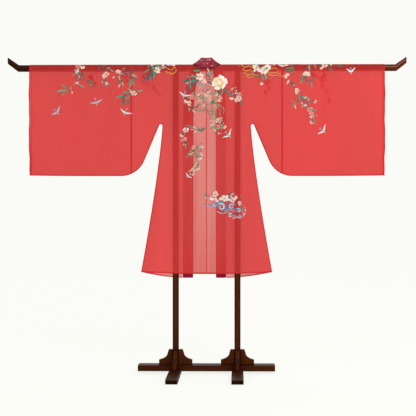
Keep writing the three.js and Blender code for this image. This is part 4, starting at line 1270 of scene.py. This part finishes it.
def right_sprays():
    """The shoulder peony with its golden tendrils, and the branch that hangs over the right sleeve."""
    e = Embroidery()
    greens = ("teal", "deep", "jade", "navy")
    for k in range(10):
        e.half_open((270 + 8 * k, 1752 - 3 * k + 9 * math.sin(2.4 * k)), 0.9 + 0.7 * k, 25,
                    ("dusk", "lilac", "honey", "mist")[k % 4], ("white", "cream", "white")[k % 3])
    e.magnolia((322, 1716), 22, 0.8)
    e.magnolia((282, 1730), 20, 2.0)
    e.blossom((322, 1776), 17, 0.4, "dusk", "white")
    e.leaves(((300, 1702), -1.9, 34, "deep"), ((310, 1700), -1.3, 36, "teal"),
             ((292, 1704), -2.4, 36, "navy"), ((326, 1700), -1.0, 38, "jade"),
             ((258, 1720), -2.2, 30, "deep"), ((336, 1690), -1.6, 32, "teal"))
    e.stem([(308, 1700), (316, 1676), (312, 1656)], 1.6, "deep")
    e.bud((313, 1660), -1.6, 26, "rose", "blush")
    for points, width in (
        ([(196, 1752), (216, 1738), (244, 1744), (262, 1734)], 4.6),
        ([(202, 1728), (226, 1716), (248, 1722), (262, 1708)], 4.4),
        ([(212, 1708), (232, 1694), (262, 1698), (286, 1690), (300, 1698)], 4.2),
        ([(224, 1686), (244, 1680), (270, 1684)], 3.4),
        ([(346, 1716), (366, 1704), (396, 1706), (420, 1698)], 4.4),
        ([(350, 1698), (372, 1690), (398, 1692), (430, 1686), (446, 1694)], 4.0),
        ([(344, 1734), (366, 1726), (384, 1734), (404, 1724)], 3.8),
        ([(350, 1752), (364, 1744), (380, 1750)], 3.4),
    ):
        e.ribbon(points, width)
    e.curl((188, 1746), 0.4, 13, 0.8, "gold", 2.4)
    e.curl((412, 1706), 2.6, 13, 0.8, "gold", 2.2, -1)
    e.spray([(330, 1790), (372, 1764), (420, 1756), (452, 1730), (470, 1722)], 9, 101, 40, (),
            ("deep", "teal", "sage"), "deep")
    e.spray([(478, 1800), (494, 1756), (488, 1716)], 6, 103, 34, (), greens)
    e.spray([(566, 1812), (578, 1760), (572, 1724)], 5, 107, 32, (), greens)
    e.spray([(606, 1768), (640, 1750), (690, 1744), (740, 1748), (768, 1744)], 8, 109, 34,
            [("open", 0.44, 2, 16), ("half", 0.34, -9, 12), ("bud", 0.56, 10, 12)], greens, "deep")
    e.spray([(660, 1800), (676, 1842), (660, 1890)], 6, 110, 30, [("open", 0.5, 6, 15), ("half", 0.9, 0, 12)],
            greens, buds=2)
    e.half_open((566, 1682), 1.4, 30, "pink", "cream")
    e.blossom((572, 1700), 13, 0.3, "blush", "cream")
    e.spray([(604, 1704), (566, 1684), (534, 1678)], 6, 113, 34, (), greens, "deep")
    e.spray([(560, 1668), (590, 1658), (618, 1644)], 3, 127, 40, (), ("teal", "deep"), "deep")
    e.half_open((464, 1680), 2.4, 24)
    e.curl((486, 1706), 0.2, 17, 0.9, "sage", 1.8)
    e.spray([(468, 1676), (484, 1640), (514, 1614), (530, 1572), (520, 1536)], 9, 131, 34,
            [("open", 0.58, -4, 14), ("bud", 0.3, 9, 11)], ("deep", "teal", "sage"), "deep", buds=1)
    e.spray([(500, 1560), (494, 1534), (500, 1512)], 4, 133, 26, (), ("sage", "teal"))
    e.spray([(534, 1580), (562, 1556), (548, 1522), (586, 1500), (606, 1462), (598, 1422)], 17, 137, 30,
            [("half", 0.14, 8, 11), ("bud", 0.32, -11, 11), ("half", 0.46, 12, 10), ("open", 0.62, -2, 17),
             ("half", 0.7, 7, 15), ("open", 0.84, -8, 12), ("half", 0.96, 2, 13)], greens, "deep", buds=4)
    e.spray([(610, 1548), (590, 1544), (570, 1530)], 3, 139, 20, [("half", 0.05, 2, 11)], greens)
    e.swallow((660, 1376), -0.7, 68, "teal", "white", 2.3)
    e.swallow((818, 1712), -1.5, 62, "mist", "white", 2.6)
    return e


def front_sprays():
    """The branches' own ends, where they run over the shoulders and hang down the fronts of the sleeves."""
    e = Embroidery()
    greens = ("teal", "deep", "jade", "navy")
    e.spray([(-300, 1806), (-318, 1856), (-296, 1910), (-262, 1968)], 7, 201, 26,
            [("open", 0.25, 8, 19), ("half", 0.45, -12, 14), ("open", 0.7, 8, 12), ("bud", 0.95, 0, 10)],
            greens, "deep", 3)
    e.spray([(-330, 1804), (-356, 1848), (-352, 1896)], 7, 203, 36, [("half", 0.6, 8, 14)], greens, "deep", 2)
    e.magnolia((-292, 1812), 25, 2.2)
    e.peony((300, 1812), 36, 3.4)
    e.spray([(316, 1832), (352, 1870), (350, 1922), (322, 1970)], 7, 205, 26,
            [("open", 0.35, 8, 17), ("half", 0.6, -10, 12), ("open", 0.85, 6, 11)], greens, "deep", 3)
    e.spray([(600, 1802), (632, 1852), (668, 1898), (700, 1954), (690, 2004)], 9, 207, 25,
            [("open", 0.15, 8, 17), ("half", 0.35, -11, 13), ("open", 0.5, 10, 12), ("half", 0.7, 8, 10),
             ("open", 0.9, -6, 11)], greens, "deep", 4)
    e.spray([(-640, 1806), (-660, 1860), (-636, 1912)], 7, 209, 26,
            [("open", 0.4, 8, 16), ("half", 0.8, -8, 11)], greens, "deep", 3)
    e.spray([(-460, 1800), (-470, 1850), (-448, 1888)], 7, 211, 34, [("half", 0.5, 8, 13)], greens, "deep", 2)
    return e


def cloud_and_blossom_panel():
    """Generic scrolling clouds with a loose drift of blossoms over them."""
    e = Embroidery()
    for points, width, tint in (
        ([(-12, 962), (16, 950), (44, 962), (70, 952)], 7.0, "sky"),
        ([(0, 954), (26, 944), (52, 952), (72, 944)], 5.0, "mist"),
        ([(96, 926), (120, 938), (150, 930), (178, 938), (204, 928)], 7.0, "sky"),
        ([(104, 920), (132, 928), (160, 920), (196, 924)], 4.4, "mist"),
        ([(60, 918), (88, 908), (124, 914), (150, 902)], 5.0, "mist"),
        ([(118, 896), (150, 904), (180, 896), (218, 902)], 6.0, "slate"),
        ([(128, 888), (156, 894), (190, 886), (212, 892)], 4.4, "lilac"),
        ([(150, 880), (172, 884), (196, 878)], 3.6, "white"),
    ):
        e.stem(points, width, tint, taper=0.6, puff=0.6)
    e.cloud((84, 944), 30, 2.6, -1)
    e.cloud((142, 946), 22, 0.4, 1)
    e.cloud((46, 952), 16, 1.0, 1)
    e.cloud((182, 924), 17, 2.6, -1)
    e.cloud((136, 896), 13, 0.8, 1, tints=("mist", "white", "lilac"))
    e.cloud((188, 888), 14, 2.2, -1, tints=("slate", "mist", "white"))
    e.cloud((214, 900), 10, 0.6, 1, tints=("lilac", "blush", "white"))
    e.stem([(24, 1022), (62, 1004), (104, 996), (150, 988), (200, 972)], 2.6, "twig")
    for k, (x, v, radius, kind) in enumerate((
            (50, 1016, 17, "open"), (80, 1006, 18, "half"), (104, 992, 17, "open"), (34, 1000, 13, "half"),
            (66, 990, 14, "half"), (128, 1000, 15, "half"), (146, 984, 16, "open"), (172, 986, 14, "half"),
            (122, 976, 13, "half"), (188, 966, 12, "open"), (90, 978, 12, "half"))):
        if kind == "open":
            e.blossom((x, v), radius, k * 0.9, ("dusk", "lilac", "pink")[k % 3], "white", "dusk")
        else:
            e.half_open((x, v), -0.4 - 0.5 * k, radius * 1.4, ("lilac", "dusk", "mist")[k % 3],
                        ("cream", "white")[k % 2])
    e.spray([(14, 1004), (-2, 1016), (-14, 1002)], 4, 149, 22, (), ("slate", "moss"), buds=1)
    e.spray([(110, 1014), (134, 1008), (164, 1002), (204, 996)], 8, 153, 24, (), ("teal", "sage", "navy"))
    e.spray([(188, 958), (206, 940), (212, 918)], 5, 151, 20, [("bud", 0.9, 0, 10)], ("teal", "jade"), buds=2)
    return e


# ------------------------------------------------------------------ operators
PALE = (0.957, 0.965, 0.922)
FLOOR_HALF = 40
LAMPS = (  # name, place, size, power
    ("key", (2.3, -2.7, 2.7), 1.4, 42.0),
    ("fill", (-2.6, -3.0, 1.6), 2.4, 4.0),
    ("back", (0.6, 3.2, 3.8), 2.4, 14.0),
)


class HANFU_OT_stage(bpy.types.Operator):
    """Set up the pale studio: floor, soft light and camera"""

    bl_idname = "hanfu.stage"
    bl_label = "Studio"

    def execute(self, context):
        studio = context.scene.hanfu_studio
        scene = context.scene
        scene.view_settings.view_transform = "Standard"
        floor_finish = Finish("studio_floor", Roughness=0.95, Specular_IOR_Level=0.0,
                              Emission_Color=(*PALE, 1.0), Emission_Strength=0.86)
        speck = floor_finish.noise((6, 6, 6), detail=2)
        floor_finish.set("Base Color", floor_finish.blend(speck, (0.13, 0.13, 0.13), (0.15, 0.15, 0.15)))
        corners = [(x * FLOOR_HALF, y * FLOOR_HALF, 0) for x, y in ((-1, -1), (1, -1), (1, 1), (-1, 1))]
        floor = mesh_object("studio_floor", corners, [(0, 1, 2, 3)], floor_finish.material)

        world = bpy.data.worlds.new("studio")
        world.use_nodes = True
        world.node_tree.nodes["Background"].inputs["Color"].default_value = (*PALE, 1)
        scene.world = world
        for name, place, size, power in LAMPS:
            light = bpy.data.lights.new(name, "AREA")
            light.size, light.energy = size, power
            lamp = bpy.data.objects.new(name, light)
            lamp.location = place
            lamp.rotation_euler = (Vector((0, 0, 1.2)) - lamp.location).to_track_quat("-Z", "Y").to_euler()
            scene.collection.objects.link(lamp)

        camera_data = bpy.data.cameras.new("camera")
        camera_data.lens = camera_data.sensor_width * studio.distance / studio.width_seen
        camera = bpy.data.objects.new("camera", camera_data)
        out = Vector((math.sin(studio.turn), -math.cos(studio.turn), 0))
        camera.location = (studio.aside, -studio.distance, studio.height)
        ahead = studio.aside - studio.distance * math.tan(studio.turn)
        camera_data.shift_x = (studio.middle - ahead) / studio.width_seen
        camera.rotation_euler = (-out).to_track_quat("-Z", "Y").to_euler()
        scene.collection.objects.link(camera)
        scene.camera = camera
        return {"FINISHED"}


class HANFU_OT_stand(bpy.types.Operator):
    """Dress the stand's solids in lacquered wood with eased edges"""

    bl_idname = "hanfu.stand"
    bl_label = "Wooden stand"

    def execute(self, context):
        stand = context.scene.hanfu_stand
        colour = tuple(stand.wood)
        beam = wood_finish("lacquered_wood_beam", colour, 0)
        # the feet's eased edges get a light colour: a painted highlight
        feet = wood_finish("lacquered_wood_feet", darker(colour, 0.62), 1, 0.5, gloss=0.23, gleam=0.42,
                           edges=linear(104, 86, 80))
        moulded = wood_finish("lacquered_wood_bar", darker(colour, 1.2), 0, 0.5, bead=0.0138)
        upright = wood_finish("lacquered_wood_post", colour, 2, 0.5, upright=(POST_X * MM, POST_HALF * MM))
        carved = wood_finish("lacquered_wood_bracket", tuple(stand.bracket), 2)
        eased_wood("crossbar", "crossbar_moulded", moulded, stand.edge * 0.5)
        eased_wood("base_beam", "base_beam_eased", beam, stand.edge)
        for side in SIDES:
            eased_wood(f"post_{side}", f"post_{side}_eased", upright, stand.edge)
            eased_wood(f"foot_{side}", f"foot_{side}_eased", feet, stand.edge)
            for place, joint in (("outer", (0, POST_HALF)), ("inner", (0, POST_HALF)),
                                 ("front", (1, POST_DEPTH)), ("back", (1, POST_DEPTH))):
                node = f"bracket_{side}_{place}"
                eased_wood(node, f"{node}_eased", carved, stand.edge * 1.4, joint)
        return {"FINISHED"}


class HANFU_OT_robe(bpy.types.Operator):
    """Hang the sheer body and sleeve panels over the crossbar, with their seams and hems"""

    bl_idname = "hanfu.robe"
    bl_label = "Sheer robe"

    def execute(self, context):
        cloth = context.scene.hanfu_cloth
        gauze = gauze_finish("sheer_silk_gauze", tuple(cloth.gauze), cloth.opacity, cloth.through)
        seam_silk = seam_finish("seam_silk", tuple(cloth.seam))
        bar = bpy.data.objects["crossbar_moulded"]
        body_cut = SLEEVE_SEAM, 2 * SHOULDER_V - (SIDE["corner_z"] * 2 - sum(HEM_DROP.values()))
        sleeve_cut = SPAN - SLEEVE_SEAM, 2 * (SHOULDER_V - SLEEVE_BOTTOM)
        for side in SIDES:
            cloth_panel(f"robe_body_{side}", f"body_{side}", side, body_plan, *body_cut, gauze, bar)
            cloth_panel(f"robe_sleeve_{side}", f"sleeve_{side}", side, sleeve_plan, *sleeve_cut, gauze, bar)
            add_hems_and_seams(side, gauze, seam_silk, cloth.hem_width / MM, cloth.seam_width / MM)
        return {"FINISHED"}


class HANFU_OT_collar(bpy.types.Operator):
    """Make the brocade collar band"""

    bl_idname = "hanfu.collar"
    bl_label = "Collar band"

    def execute(self, context):
        brocade = brocade_finish("collar_brocade", tuple(context.scene.hanfu_cloth.brocade))
        band = refined_copy("collar", "collar_band", brocade, 2, math.radians(50))
        dress(band, "collar_brocade", "collar")
        return {"FINISHED"}


class HANFU_OT_embroidery(bpy.types.Operator):
    """Stitch the sprays of blossom, the birds and the clouds onto the robe"""

    bl_idname = "hanfu.embroidery"
    bl_label = "Embroidery"

    def execute(self, context):
        thread = silk_thread_finish("satin_stitch_silk")
        for name, motifs in (
            ("embroidery_centre_back", centre_back_sprays()),
            ("embroidery_left", left_sprays()),
            ("embroidery_right", right_sprays()),
            ("embroidery_front", front_sprays()),
            ("embroidery_clouds", cloud_and_blossom_panel()),
        ):
            motifs.build(name, thread)
        return {"FINISHED"}


STEPS = (HANFU_OT_stage, HANFU_OT_stand, HANFU_OT_robe, HANFU_OT_collar, HANFU_OT_embroidery)


class HANFU_PT_panel(bpy.types.Panel):
    bl_label = "Hanfu on a robe stand"
    bl_space_type = "VIEW_3D"
    bl_region_type = "UI"
    bl_category = "Hanfu"

    def draw(self, context):
        scene = context.scene
        for group in (scene.hanfu_cloth, scene.hanfu_stand, scene.hanfu_studio):
            column = self.layout.column()
            for name in group.__annotations__:
                column.prop(group, name)
        for step in STEPS:
            self.layout.operator(step.bl_idname)


CLASSES = (HanfuCloth, HanfuStand, HanfuStudio, *STEPS, HANFU_PT_panel)


def register():
    for cls in CLASSES:
        bpy.utils.register_class(cls)
    bpy.types.Scene.hanfu_cloth = bpy.props.PointerProperty(type=HanfuCloth)
    bpy.types.Scene.hanfu_stand = bpy.props.PointerProperty(type=HanfuStand)
    bpy.types.Scene.hanfu_studio = bpy.props.PointerProperty(type=HanfuStudio)


def unregister():
    del bpy.types.Scene.hanfu_cloth, bpy.types.Scene.hanfu_stand, bpy.types.Scene.hanfu_studio
    for cls in reversed(CLASSES):
        bpy.utils.unregister_class(cls)


def main():
    register()
    bpy.ops.hanfu.stage()
    bpy.ops.hanfu.stand()
    bpy.ops.hanfu.robe()
    bpy.ops.hanfu.collar()
    bpy.ops.hanfu.embroidery()


if __name__ == "__main__":
    main()
